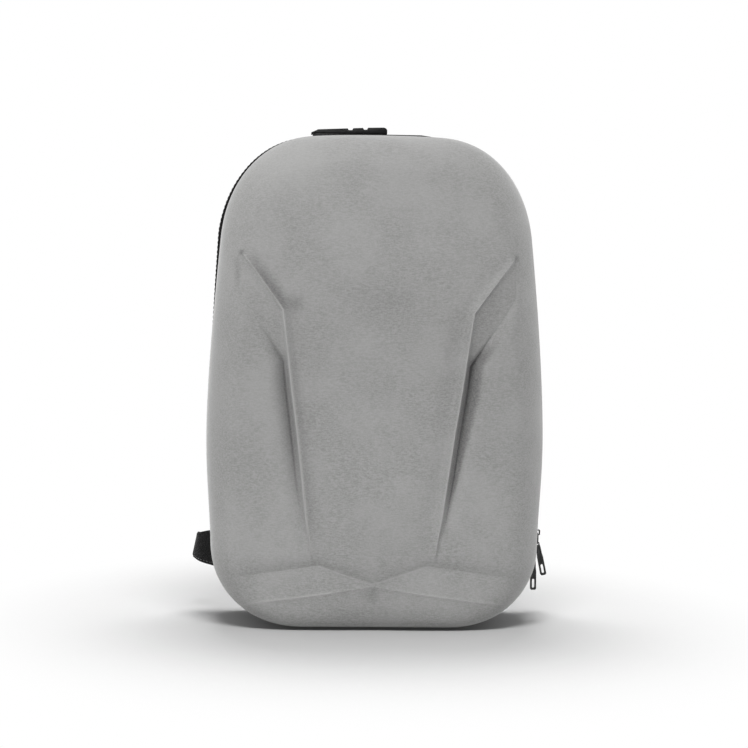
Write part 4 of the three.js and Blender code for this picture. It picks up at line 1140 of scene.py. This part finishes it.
def fill_pad(piece, swell):
    """Fills a pad by cloth simulation. Sewn points are held, and no point moves further than the swell."""
    mesh = piece.data
    count = len(mesh.vertices)
    sewn = np.zeros(count, np.float32)
    mesh.attributes["sewn"].data.foreach_get("value", sewn)
    held = piece.vertex_groups.new(name="held_by_stitches")
    held.add(np.flatnonzero(sewn > 0.5).tolist(), 1, "REPLACE")
    filling = piece.modifiers.new("filling", "CLOTH")
    filling.settings.vertex_group_mass = held.name
    filling.settings.use_pressure = True
    filling.settings.uniform_pressure_force = FILL_PRESSURE
    filling.settings.shrink_min = -FILL_SLACK
    filling.settings.effector_weights.gravity = 0
    filling.point_cache.frame_end = FILL_FRAMES
    for number in range(1, FILL_FRAMES + 1):
        bpy.context.scene.frame_set(number)
    filled = piece.evaluated_get(bpy.context.evaluated_depsgraph_get()).to_mesh()
    flat, full = np.zeros((2, 3 * count), np.float32)
    mesh.vertices.foreach_get("co", flat)
    filled.vertices.foreach_get("co", full)
    move = (full - flat).reshape(-1, 3)
    far = np.maximum(np.linalg.norm(move, axis=1), SAME_PLACE * MM)
    move *= (swell * MM * np.tanh(far / (swell * MM)) / far)[:, None]
    mesh.vertices.foreach_set("co", flat + move.ravel())
    mesh.update()
    piece.modifiers.remove(filling)
    piece.vertex_groups.remove(held)
    bpy.context.scene.frame_set(1)


panel = finish_mesh("padded_back_panel", back_panel_mesh(), panel_material())
fill_pad(panel, PANEL_SWELL)
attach(panel, "root")
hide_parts("back_panel")

# Lock: a low base plate and a body with two slots for the zip pulls, moulded in black plastic and
# fixed to the top of the gusset. Their edges are broken, so they catch a thin line of light.
SAME_CORNER = 0.002
FLAT_ANGLE = math.radians(2)
SHARP_ANGLE = math.radians(25)


def solid_copy(node):
    """A copy of a solid's mesh in millimetres, with its corners merged."""
    bm = bmesh.new()
    bm.from_mesh(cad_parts[node].data)
    bmesh.ops.scale(bm, vec=(1 / MM, 1 / MM, 1 / MM), verts=bm.verts)
    bmesh.ops.remove_doubles(bm, verts=bm.verts, dist=SAME_CORNER)
    return bm


def ease_edges(bm, sharp, ease, segments):
    """Rounds the edges that bend by more than an angle."""
    bmesh.ops.bevel(
        bm,
        geom=[edge for edge in bm.edges if edge.calc_face_angle(0) > sharp],
        offset=ease,
        affect="EDGES",
        segments=segments,
        profile=0.5,
        material=-1,
        clamp_overlap=True,
    )
    return bm


def eased_copy(node, ease, segments=2):
    """A copy of a solid's mesh with flat faces joined up and its edges rounded."""
    bm = solid_copy(node)
    bmesh.ops.dissolve_limit(bm, angle_limit=FLAT_ANGLE, verts=bm.verts, edges=bm.edges)
    return ease_edges(bm, SHARP_ANGLE, ease, segments)


LOCK_DARK = (0.006, 0.006, 0.0064, 1)
LOCK_PALE = (0.014, 0.014, 0.0145, 1)
lock_plastic = hard_material("lock_plastic", LOCK_DARK, LOCK_PALE, roughness=0.5, specular=0.22)
for node, ease in (("lock_base", 0.2), ("lock_body", 0.7)):
    piece = finish_mesh(f"{node}_moulding", eased_copy(node, ease), lock_plastic)
    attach(piece, "root")
    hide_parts(node)

# Zip sliders, rings and pulls: die-cast and plated black. Each pull hangs from a small wire ring in
# the bail of its slider, at the lower right side of the bag.
PLATING_DARK = (0.006, 0.006, 0.0065, 1)
PLATING_PALE = (0.02, 0.02, 0.021, 1)
plated = hard_material("black_plating", PLATING_DARK, PLATING_PALE, roughness=0.42, grain=3000)
for place_name in ("upper", "lower"):
    for kind, ease in (("slider", 0.18), ("pull", 0.28)):
        node = f"zip_{kind}_{place_name}"
        piece = finish_mesh(f"{node}_casting", eased_copy(node, ease), plated)
        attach(piece, "root")
        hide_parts(node)
    node = f"zip_ring_{place_name}"
    piece = finish_mesh(f"{node}_wire", solid_copy(node), plated)
    rounding = piece.modifiers.new("rounding", "SUBSURF")
    rounding.levels = 2
    rounding.render_levels = 2
    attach(piece, "root")
    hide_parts(node)

# Shoulder straps: foam sewn into black cloth, with a binding tape folded over both long edges. They
# start at the top of the back panel and end in the adjusters.
PAD_THICK = 11
BINDING_WIDTH = 8
BINDING_RISE = 0.5
PAD_FACES_AROUND = 52
PAD_FACES_ALONG = 120
PAD_SWELL = 2.4
PAD_SQUARE = 0.55
PAD_CROWN = 0.75
PAD_END_FLAT = 0.36
PAD_END_HOLD = 8
PAD_END_RUN = 38
NOSE_RUN = 5
NOSE_THIN = 0.4
NOSE_PULL = 2
PINCH = 0.28
PINCH_FROM = BINDING_WIDTH + 3
PINCH_RUN = 6
GROOVE_DEPTH = 0.9
GROOVE_AT = BINDING_WIDTH + 1
GROOVE_WIDTH = 1.2
FACE_FROM = 0.2
HELD_EDGE = BINDING_WIDTH + 2
HELD_FOOT = 14
SEAM_FROM = 8
SEAM_ANGLE = 0.6
SEAM_STEP = 0.001
PATCH_WIDE = 38
PATCH_RUN = (7, 27)
PATCH_STEP = 0.01
HELD_TOP = PATCH_RUN[1] + 4
LINE_STEP = 0.002
LENGTH_STEPS = 200
ADJUSTER_AT = (92.6, PANEL_FACE + 28.6, 175.5)
ADJUSTER_TALL = 30
ADJUSTER_GAP = 0.8
ADJUSTER_SPLAY = math.radians(-10)
ADJUSTER_TILT = math.radians(-18)
adjuster_turn = Matrix.Rotation(ADJUSTER_SPLAY, 4, "Y") @ Matrix.Rotation(ADJUSTER_TILT, 4, "X")
adjuster_side = tuple(adjuster_turn @ Vector((1, 0, 0)))


def adjuster_point(up):
    """A place on the adjuster's middle line, so far above its middle."""
    return tuple(Vector(ADJUSTER_AT) + adjuster_turn @ Vector((0, 0, up)))


BandRow = namedtuple("BandRow", "at side wide thick")
pad_rows = [
    BandRow((50, PANEL_FACE + PAD_THICK / 2 + 0.6, 440), (1, 0, 0), 56, PAD_THICK),
    BandRow((51, PANEL_FACE + PAD_THICK / 2 + 1.2, 412), (1, 0, 0), 58, PAD_THICK),
    BandRow((57, PANEL_FACE + 22, 362), (1, 0, 0.15), 60, PAD_THICK),
    BandRow((67, PANEL_FACE + 37, 305), (1, 0, 0.2), 60, PAD_THICK),
    BandRow((79, PANEL_FACE + 41, 248), (1, 0, 0.18), 56, PAD_THICK),
    BandRow(adjuster_point(ADJUSTER_TALL / 2 + 26), adjuster_side, 46, 9),
    BandRow(adjuster_point(ADJUSTER_TALL / 2 + ADJUSTER_GAP), adjuster_side, 34, 7),
]


def through(points, share):
    """A smooth line through points, with its bends eased by the distance between them."""
    points = np.array(points, float)
    ends = np.vstack([2 * points[0] - points[1], points, 2 * points[-1] - points[-2]])
    place = np.clip(share, 0, 1) * (len(points) - 1)
    start = np.minimum(place.astype(int), len(points) - 2)
    t = (place - start)[:, None]
    before, here, there, after = (ends[start + i] for i in range(4))
    spans = ((before, here), (here, there), (there, after))
    gaps = [np.sqrt(np.linalg.norm(end - begin, axis=1))[:, None] for begin, end in spans]
    gaps[1] = np.where(gaps[1] < SAME_PLACE, 1, gaps[1])
    gaps[0], gaps[2] = (np.where(gap < SAME_PLACE, gaps[1], gap) for gap in (gaps[0], gaps[2]))
    leave = (here - before) / gaps[0] - (there - before) / (gaps[0] + gaps[1]) + (there - here) / gaps[1]
    arrive = (there - here) / gaps[1] - (after - here) / (gaps[1] + gaps[2]) + (after - there) / gaps[2]
    leave, arrive = leave * gaps[1], arrive * gaps[1]
    cubic = 2 * here - 2 * there + leave + arrive
    square = -3 * here + 3 * there - 2 * leave - arrive
    return here + leave * t + square * t**2 + cubic * t**3


def band_size(rows, size, share):
    place = np.clip(share, 0, 1) * (len(rows) - 1)
    return np.interp(place, range(len(rows)), [getattr(row, size) for row in rows])


def band_frame(rows, share):
    """Middle, direction of the width, way out and half sizes of a band at shares of its length."""
    line = [row.at for row in rows]
    middle = through(line, share)
    along = through(line, share + LINE_STEP) - through(line, share - LINE_STEP)
    along /= np.linalg.norm(along, axis=1)[:, None]
    side = through([row.side for row in rows], share)
    side -= along * np.sum(side * along, axis=1)[:, None]
    side /= np.linalg.norm(side, axis=1)[:, None]
    wide, thick = (band_size(rows, size, share) for size in ("wide", "thick"))
    return middle, side, np.cross(along, side), wide / 2, thick / 2


def band_length(rows):
    line = through([row.at for row in rows], np.linspace(0, 1, LENGTH_STEPS))
    return float(np.linalg.norm(np.diff(line, axis=0), axis=1).sum())


def bent(value, power):
    """A power of a value that keeps its sign."""
    return np.sign(value) * np.abs(value) ** power


def pad_point(share, angle):
    """Points of a strap's skin at shares of its length and angles round its section."""
    middle, side, face, half_wide, half_thick = band_frame(pad_rows, share)
    length = band_length(pad_rows)
    from_end = np.minimum(share, 1 - share) * length
    flat = mix(PAD_END_FLAT, 1, smooth((share * length - PAD_END_HOLD) / PAD_END_RUN))
    middle = middle + face * (half_thick * (1 - flat))[:, None]
    half_thick = half_thick * flat
    nose = mix(NOSE_THIN, 1, np.sqrt(1 - (1 - np.clip(from_end / NOSE_RUN, 0, 1)) ** 2))
    across = bent(np.cos(angle), PAD_SQUARE)
    up = bent(np.sin(angle), PAD_CROWN)
    from_edge = half_wide * (1 - np.abs(across))
    swell = 1 - PINCH * smooth((PINCH_FROM - from_edge) / PINCH_RUN)
    groove = -GROOVE_DEPTH * flat * nose * soft_line(from_edge - GROOVE_AT, GROOVE_WIDTH)
    lift = BINDING_RISE * (from_edge < BINDING_WIDTH)
    thick = half_thick * up * swell * nose + np.sign(up) * (groove + lift) * (np.abs(up) > FACE_FROM)
    wide = half_wide * across - np.sign(across) * NOSE_PULL * (1 - nose)
    return middle + side * wide[:, None] + face * thick[:, None]


def place_pad(u, v):
    return pad_point(v, 2 * math.pi * (u % 1))


def sewn_pad(u, v):
    """The bindings at both sides and the two ends are held by stitches."""
    length = band_length(pad_rows)
    from_edge = 1 - np.abs(np.cos(2 * math.pi * u)) ** PAD_SQUARE
    at_edge = from_edge < 2 * HELD_EDGE / pad_rows[0].wide
    return at_edge | (v * length < HELD_TOP) | ((1 - v) * length < HELD_FOOT)


def close_ends(bm):
    bmesh.ops.holes_fill(bm, edges=[edge for edge in bm.edges if edge.is_boundary])
    bmesh.ops.recalc_face_normals(bm, faces=bm.faces)
    return bm


def mirror_left(bm, side):
    """Turns a mesh drawn for the right side into the left one."""
    if side == "left":
        bmesh.ops.scale(bm, vec=(-1, 1, 1), verts=bm.verts)
        bmesh.ops.reverse_faces(bm, faces=bm.faces)
    return bm


def pad_stitches():
    length = band_length(pad_rows)
    count = int((length - 2 * SEAM_FROM) / STITCH_PITCH)
    shares = (SEAM_FROM + (np.arange(count) + 0.5) * STITCH_PITCH) / length
    for row_angle in (SEAM_ANGLE, math.pi - SEAM_ANGLE, math.pi + SEAM_ANGLE, -SEAM_ANGLE):
        here = pad_point(shares, np.full(count, row_angle))
        ahead = pad_point(shares + SEAM_STEP, np.full(count, row_angle))
        _, _, face, _, _ = band_frame(pad_rows, shares)
        for start, end, out in zip(here, ahead, face * math.copysign(1, math.sin(row_angle))):
            yield Vector(start), Vector(end - start), Vector(out)


def patch_point(places):
    """Points of the strap's outer face, so far from its middle line and from its top end."""
    share = places[:, 1] / band_length(pad_rows)
    across = 2 * places[:, 0] / band_size(pad_rows, "wide", share)
    return pad_point(share, -np.arccos(bent(across, 1 / PAD_SQUARE)))


def patch_stitches():
    """A crossed box of stitches that holds the strap's flat top end to the back panel."""
    near, far = PATCH_RUN
    left, right = -PATCH_WIDE / 2, PATCH_WIDE / 2
    lines = [((left, near), (right, near)), ((right, near), (right, far)), ((right, far), (left, far))]
    lines += [((left, far), (left, near)), ((left, near), (right, far)), ((right, near), (left, far))]
    for start, end in lines:
        start, end = np.array(start), np.array(end)
        count = round(np.linalg.norm(end - start) / STITCH_PITCH)
        shares = (np.arange(count) + 0.5)[:, None] / count
        here, ahead = (patch_point(start + (end - start) * (shares + step)) for step in (0, PATCH_STEP))
        for middle, further in zip(here, ahead):
            yield Vector(middle), Vector(further - middle), Vector((0, 1, 0))


STRAP_DARK = (0.0055, 0.0055, 0.0057, 1)
STRAP_PALE = (0.015, 0.015, 0.0153, 1)
strap_cloth = cloth_material("strap_cloth", STRAP_DARK, STRAP_PALE, threads=800, relief=0.0005)
for side in ("left", "right"):
    pad_mesh = close_ends(wrapped_grid(PAD_FACES_AROUND, PAD_FACES_ALONG, place_pad, sewn_pad))
    pad = finish_mesh(f"padded_shoulder_strap_{side}", mirror_left(pad_mesh, side), strap_cloth)
    fill_pad(pad, PAD_SWELL)
    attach(pad, "root")
    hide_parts(f"shoulder_strap_{side}")
    pad_seams = [*pad_stitches(), *patch_stitches()]
    seam_mesh = mirror_left(bars_along(pad_seams, STITCH_LENGTH, STITCH_THICK), side)
    seam = finish_mesh(f"shoulder_strap_stitching_{side}", seam_mesh, thread)
    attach(seam, "root")

# Strap adjusters: plain ladder-locks moulded in black nylon, with two slots for the webbing. One hangs
# at the lower end of each shoulder strap.
ADJUSTER_DARK = (0.007, 0.007, 0.007, 1)
ADJUSTER_PALE = (0.016, 0.016, 0.016, 1)
ADJUSTER_EASE = 0.7
moulded_nylon = hard_material("moulded_nylon", ADJUSTER_DARK, ADJUSTER_PALE, roughness=0.42)
for side in ("left", "right"):
    node = f"strap_adjuster_{side}"
    piece = finish_mesh(f"{node}_moulding", eased_copy(node, ADJUSTER_EASE, segments=3), moulded_nylon)
    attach(piece, "root")
    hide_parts(node)

# Wings: a folded piece of webbing cloth sewn to the gusset near the foot, with stitches near its
# edges. The strap's webbing is sewn to its end. The left one stands out, the right one lies back.
TAB_THICK = 2.4
TAB_ROOT = 26
TAB_ACROSS = 14
TAB_ALONG = 24
TAB_STITCH = 1.4
TAB_EASE = 0.7
TAB_SHARP = math.radians(50)
TAB_STEP = 0.01


def gusset_side(z):
    inset = float(read(gusset_rows, "z", "inset", z))
    return float(half_width(z)) * (1 - inset / HALF_WIDTH) + GAP


TabRow = namedtuple("TabRow", "upper middle lower")
tab_foot = TabRow(*((gusset_side(z), TAB_ROOT, z) for z in (82.5, 63.5, 44.5)))
tab_rows = {
    "left": [
        tab_foot,
        TabRow((166, 28, 81.4), (164, 28, 63.8), (160.5, 28, 46.2)),
        TabRow((173, 32, 79.4), (173.4, 32, 65), (172.6, 32, 49.6)),
        TabRow((175.5, 39, 77.8), (177.5, 39, 66), (179.7, 39, 53.6)),
    ],
    "right": [
        tab_foot,
        TabRow((162.4, 32, 81.4), (160.6, 32, 63.8), (156.4, 32, 46.2)),
        TabRow((163.2, 38, 79.6), (162, 38, 65), (159, 38, 50)),
        TabRow((162.6, 45, 78.2), (161.1, 45, 66.4), (159.6, 45, 54.5)),
    ],
}


def tab_point(side, u, v):
    """Points of a wing's middle surface: u from its upper to its lower edge, v from the gusset outwards."""
    upper, middle, lower = (
        through([getattr(row, name) for row in tab_rows[side]], v) for name in TabRow._fields
    )
    u = u[:, None]
    return upper * (2 * u - 1) * (u - 1) + middle * 4 * u * (1 - u) + lower * u * (2 * u - 1)


def tab_mesh(side):
    bm = wrapped_grid(TAB_ACROSS, TAB_ALONG, lambda u, v: tab_point(side, u, v))
    for vert in bm.verts:
        vert.co -= vert.normal * TAB_THICK / 2
    bmesh.ops.solidify(bm, geom=bm.faces[:], thickness=-TAB_THICK)
    bmesh.ops.recalc_face_normals(bm, faces=bm.faces)
    return ease_edges(bm, TAB_SHARP, TAB_EASE, segments=3)


# Rows of stitches on a wing: along the outer end, the lower edge and the seam at the gusset.
TabSeam = namedtuple("TabSeam", "start end count")
tab_seams = [
    TabSeam((0.1, 0.9), (0.9, 0.9), 11),
    TabSeam((0.92, 0.28), (0.92, 0.86), 8),
    TabSeam((0.1, 0.14), (0.9, 0.14), 14),
]


def tab_stitches(side):
    """Short stitches on both faces of a wing."""
    for seam_row in tab_seams:
        u, v = np.linspace(seam_row.start, seam_row.end, seam_row.count).T
        here = tab_point(side, u, v)
        ahead = tab_point(side, u + TAB_STEP * (u[0] != u[-1]), v + TAB_STEP * (v[0] != v[-1]))
        down = tab_point(side, u + TAB_STEP, v) - here
        out = np.cross(down, tab_point(side, u, v + TAB_STEP) - here)
        out /= np.linalg.norm(out, axis=1)[:, None]
        for middle, end, way in zip(here, ahead, out):
            for face in (1, -1):
                yield Vector(middle + face * way * TAB_THICK / 2), Vector(end - middle), Vector(way)


TAB_THREAD_DARK = (0.12, 0.12, 0.12, 1)
TAB_THREAD_PALE = (0.3, 0.3, 0.3, 1)
WEB_DARK = (0.005, 0.005, 0.005, 1)
WEB_PALE = (0.013, 0.013, 0.013, 1)
pale_thread = hard_material("pale_thread", TAB_THREAD_DARK, TAB_THREAD_PALE, roughness=0.7, grain=2500)
web_cloth = cloth_material("webbing_weave", WEB_DARK, WEB_PALE, threads=560, relief=0.0007, roughness=0.75)
for side in ("left", "right"):
    wing = finish_mesh(f"sewn_strap_wing_{side}", mirror_left(tab_mesh(side), side), web_cloth)
    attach(wing, "root")
    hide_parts(f"strap_tab_{side}")
    seam_mesh = mirror_left(bars_along(tab_stitches(side), TAB_STITCH, STITCH_THICK), side)
    seam = finish_mesh(f"strap_wing_stitching_{side}", seam_mesh, pale_thread)
    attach(seam, "root")

# Webbing: flat woven straps from the adjusters down to the wings, with a rounded selvedge. The lower
# end is folded narrower and sewn between the two layers of its wing.
WEB_WIDE = 25
WEB_THICK = 1.8
WEB_SEWN_WIDE = 22
WEB_STRAIGHT = 16
WEB_SQUARE = 0.12
WEB_CROWN = 0.5
WEB_AROUND = 28
WEB_ALONG = 130
WebRow = namedtuple("WebRow", "at side")
web_routes = {
    "left": [
        WebRow((122, PANEL_FACE + 24, 104), (0.65, 0.2, 0.7)),
        WebRow((146, PANEL_FACE + 23, 71.5), (0.3, 0.15, 0.95)),
        WebRow((167, PANEL_FACE + 16, 63.8), (-0.1, 0.05, 1)),
        WebRow((177, 49, 66), (-0.16, 0, 1)),
        WebRow((177.5, 40.4, 66), (-0.16, 0, 1)),
        WebRow((175.2, 35, 65.6), (-0.1, 0, 1)),
    ],
    "right": [
        WebRow((125, PANEL_FACE + 23, 106), (0.6, 0.2, 0.75)),
        WebRow((151, PANEL_FACE + 23, 79), (0.25, 0.15, 0.95)),
        WebRow((161.1, 57, 66.4), (0.126, 0, 1)),
        WebRow((161.1, 46.2, 66.4), (0.126, 0, 1)),
        WebRow((161.6, 40.5, 65.6), (0.126, 0, 1)),
    ],
}


def web_point(rows, u, v):
    middle, lie, face, half_wide, half_thick = band_frame(rows, v)
    angle = 2 * math.pi * (u % 1)
    across = bent(np.cos(angle), WEB_SQUARE)
    up = bent(np.sin(angle), WEB_CROWN)
    return middle + lie * (half_wide * across)[:, None] + face * (half_thick * up)[:, None]


for side in ("left", "right"):
    downs = (ADJUSTER_GAP, WEB_STRAIGHT)
    top = [WebRow(adjuster_point(-ADJUSTER_TALL / 2 - down), adjuster_side) for down in downs]
    web_rows = [BandRow(*row, WEB_WIDE, WEB_THICK) for row in top + web_routes[side]]
    web_rows[-2:] = [row._replace(wide=WEB_SEWN_WIDE) for row in web_rows[-2:]]
    web_mesh = wrapped_grid(WEB_AROUND, WEB_ALONG, lambda u, v: web_point(web_rows, u, v))
    web = finish_mesh(f"woven_webbing_{side}", mirror_left(close_ends(web_mesh), side), web_cloth)
    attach(web, "root")
    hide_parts(f"strap_webbing_{side}")

# Adjuster loops: short webbing loops round the adjuster's upper and lower bars. The upper one is sewn
# into the end of the pad, the lower one to both faces of the long webbing.
LOOP_THICK = 1.5
LOOP_ALONG = 64
BarLoop = namedtuple("BarLoop", "place up leg")
bar_loops = [BarLoop("upper", 1, 1.2), BarLoop("lower", -1, 1.7)]


def loop_rows(bar):
    """The loop's line goes down one face of the bar, through the slot and back along the other face."""
    face = [(bar.leg, 25), (bar.leg + 0.1, 20.5), (2.3, 17), (3.4, 13.8), (3.45, 9.3), (2.6, 8), (1.4, 7.7)]
    line = face + [(0, 7.65)] + [(-out, up) for out, up in reversed(face)]
    places = [Vector(ADJUSTER_AT) + adjuster_turn @ Vector((0, out, bar.up * up)) for out, up in line]
    return [BandRow(tuple(place), adjuster_side, WEB_WIDE, LOOP_THICK) for place in places]


for side in ("left", "right"):
    for bar in bar_loops:
        loop_mesh = wrapped_grid(WEB_AROUND, LOOP_ALONG, lambda u, v: web_point(loop_rows(bar), u, v))
        loop_mesh = mirror_left(close_ends(loop_mesh), side)
        loop = finish_mesh(f"adjuster_loop_{bar.place}_{side}", loop_mesh, web_cloth)
        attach(loop, "root")

# Studio: a pale floor that runs into a white backdrop, with a dim room in front of it. A large soft lamp
# stands at the upper left, weaker ones above, low in front and at the right, and the floor has two lamps
# of its own. The camera stands at the photograph's place, slightly turned.
AIM = Vector((0.0002, RIM_Y * MM, 0.244))
VIEW_AZIMUTH = math.radians(-2.6)
VIEW_ELEVATION = math.radians(1.2)
VIEW_ROLL = math.radians(0.65)
VIEW_DISTANCE = 2.2
LENS = 106.4
FLOOR_RADIUS = 14
WHITE = (1, 1, 1, 1)
BACKDROP = (1.8, 1.8, 1.8, 1)
ROOM = (0.4, 0.4, 0.4, 1)
FLOOR_DROP = 0.2
FLOOR_GLOW = (0.02, 0.02, 0.02, 1)
FLOOR_DARK = (0.245, 0.245, 0.245, 1)
FLOOR_PALE = (0.255, 0.255, 0.255, 1)
FLOOR_OVAL = (1.6, 1, 1)
FLOOR_FADE = (0.3, 0.68)
BLACK = (0, 0, 0, 1)

scene = bpy.context.scene
scene.view_settings.view_transform = "Standard"
world = bpy.data.worlds.new("white_backdrop")
world.use_nodes = True
sky_tree = world.node_tree
sky_way = add_node(sky_tree, "ShaderNodeTexCoord", {}).outputs["Generated"]
sky_depth = add_node(sky_tree, "ShaderNodeSeparateXYZ", {0: sky_way}).outputs[1]
sky_tone = mixed(sky_tree, ramp(sky_tree, sky_depth, -0.2, 0.3), ROOM, BACKDROP)
sky_seen = add_node(sky_tree, "ShaderNodeLightPath", {}).outputs["Is Camera Ray"]
sky_colour = mixed(sky_tree, sky_seen, sky_tone, WHITE)
sky_tree.links.new(sky_colour, sky_tree.nodes["Background"].inputs["Color"])
scene.world = world

# Lamps: place and aim in metres, size, power and how wide the light spreads in degrees.
Lamp = namedtuple("Lamp", "name at aim size power spread", defaults=[180])
bag_lamps = [
    Lamp("key_lamp", (-0.7, -1.75, 1.9), (0, 0, 0.25), 0.9, 31.8),
    Lamp("top_lamp", (-0.2, -0.7, 2.2), (0, 0, 0.25), 1.2, 11),
    Lamp("low_lamp", (-0.05, -0.95, 0), (0, 0, 0.04), 0.7, 2),
    Lamp("foot_lamp", (0, -1, 0), (0, -0.1, -0.06), 0.5, 0.15, spread=20),
    Lamp("rim_lamp", (1.5, 0.55, 0.5), (0.1, 0, 0.25), 0.6, 5),
]
floor_lamps = [
    Lamp("floor_lamp_front", (0, -1.1, 1.3), (0, 0.1, 0), 0.6, 44),
    Lamp("floor_lamp_back", (0, 0.7, 1.6), (0, -0.1, 0), 1, 50),
]


def soft_lamp(lamp):
    light = bpy.data.lights.new(lamp.name, "AREA")
    light.shape = "DISK"
    light.size = lamp.size
    light.energy = lamp.power
    light.spread = math.radians(lamp.spread)
    holder = bpy.data.objects.new(lamp.name, light)
    holder.location = lamp.at
    holder.rotation_euler = (Vector(lamp.aim) - Vector(lamp.at)).to_track_quat("-Z", "Y").to_euler()
    holder.visible_camera = False
    scene.collection.objects.link(holder)
    return holder


bag_lights = [soft_lamp(lamp) for lamp in bag_lamps]
floor_lights = [soft_lamp(lamp) for lamp in floor_lamps]

floor_mesh = bmesh.new()
bmesh.ops.create_circle(floor_mesh, cap_ends=True, segments=96, radius=FLOOR_RADIUS / MM)
bmesh.ops.translate(floor_mesh, vec=(0, 0, -FLOOR_DROP), verts=floor_mesh.verts)
# The floor glows: faintly near the bag and white further away, so it fades into the backdrop; near the bag
# its own lamps light it.
floor_material, floor_tree, floor_shader, floor_place = new_material("pale_floor")
floor_clouds = place_group(floor_tree, cloud_group, floor_place, Size=6)
floor_tone = mixed(floor_tree, floor_clouds["Tone"], FLOOR_DARK, FLOOR_PALE)
floor_oval = add_node(floor_tree, "ShaderNodeMapping", {"Vector": floor_place, "Scale": FLOOR_OVAL})
floor_reach = add_node(floor_tree, "ShaderNodeVectorMath", {0: floor_oval.outputs[0]}, operation="LENGTH")
floor_far = ramp(floor_tree, floor_reach.outputs["Value"], *FLOOR_FADE)
floor_colour = mixed(floor_tree, floor_far, floor_tone, BLACK)
floor_glow = mixed(floor_tree, floor_far, FLOOR_GLOW, WHITE)
floor_tree.links.new(floor_colour, floor_shader.inputs["Base Color"])
floor_tree.links.new(floor_glow, floor_shader.inputs["Emission Color"])
floor_shader.inputs["Emission Strength"].default_value = 1.0
floor_shader.inputs["Roughness"].default_value = 0.9
floor_shader.inputs["Specular IOR Level"].default_value = 0.0
floor = finish_mesh("studio_floor", floor_mesh, floor_material)

# The bag's lamps are flagged off the floor, which its own two lamps light alone.
flagged = bpy.data.collections.new("flagged_floor")
flagged.objects.link(floor)
flagged.collection_objects[0].light_linking.link_state = "EXCLUDE"
for light in bag_lights:
    light.light_linking.receiver_collection = flagged
floor_only = bpy.data.collections.new("floor_only")
floor_only.objects.link(floor)
for light in floor_lights:
    light.light_linking.receiver_collection = floor_only

camera_data = bpy.data.cameras.new("photo_camera")
camera_data.lens = LENS
camera = bpy.data.objects.new("photo_camera", camera_data)
back = Vector(
    (
        math.sin(VIEW_AZIMUTH) * math.cos(VIEW_ELEVATION),
        -math.cos(VIEW_AZIMUTH) * math.cos(VIEW_ELEVATION),
        math.sin(VIEW_ELEVATION),
    )
)
level_right = Vector((0, 0, 1)).cross(back).normalized()
level_up = back.cross(level_right)
right = math.cos(VIEW_ROLL) * level_right + math.sin(VIEW_ROLL) * level_up
up = back.cross(right)
view_turn = Matrix((right, up, back)).transposed().to_4x4()
camera.matrix_world = Matrix.Translation(AIM + VIEW_DISTANCE * back) @ view_turn
scene.collection.objects.link(camera)
scene.camera = camera
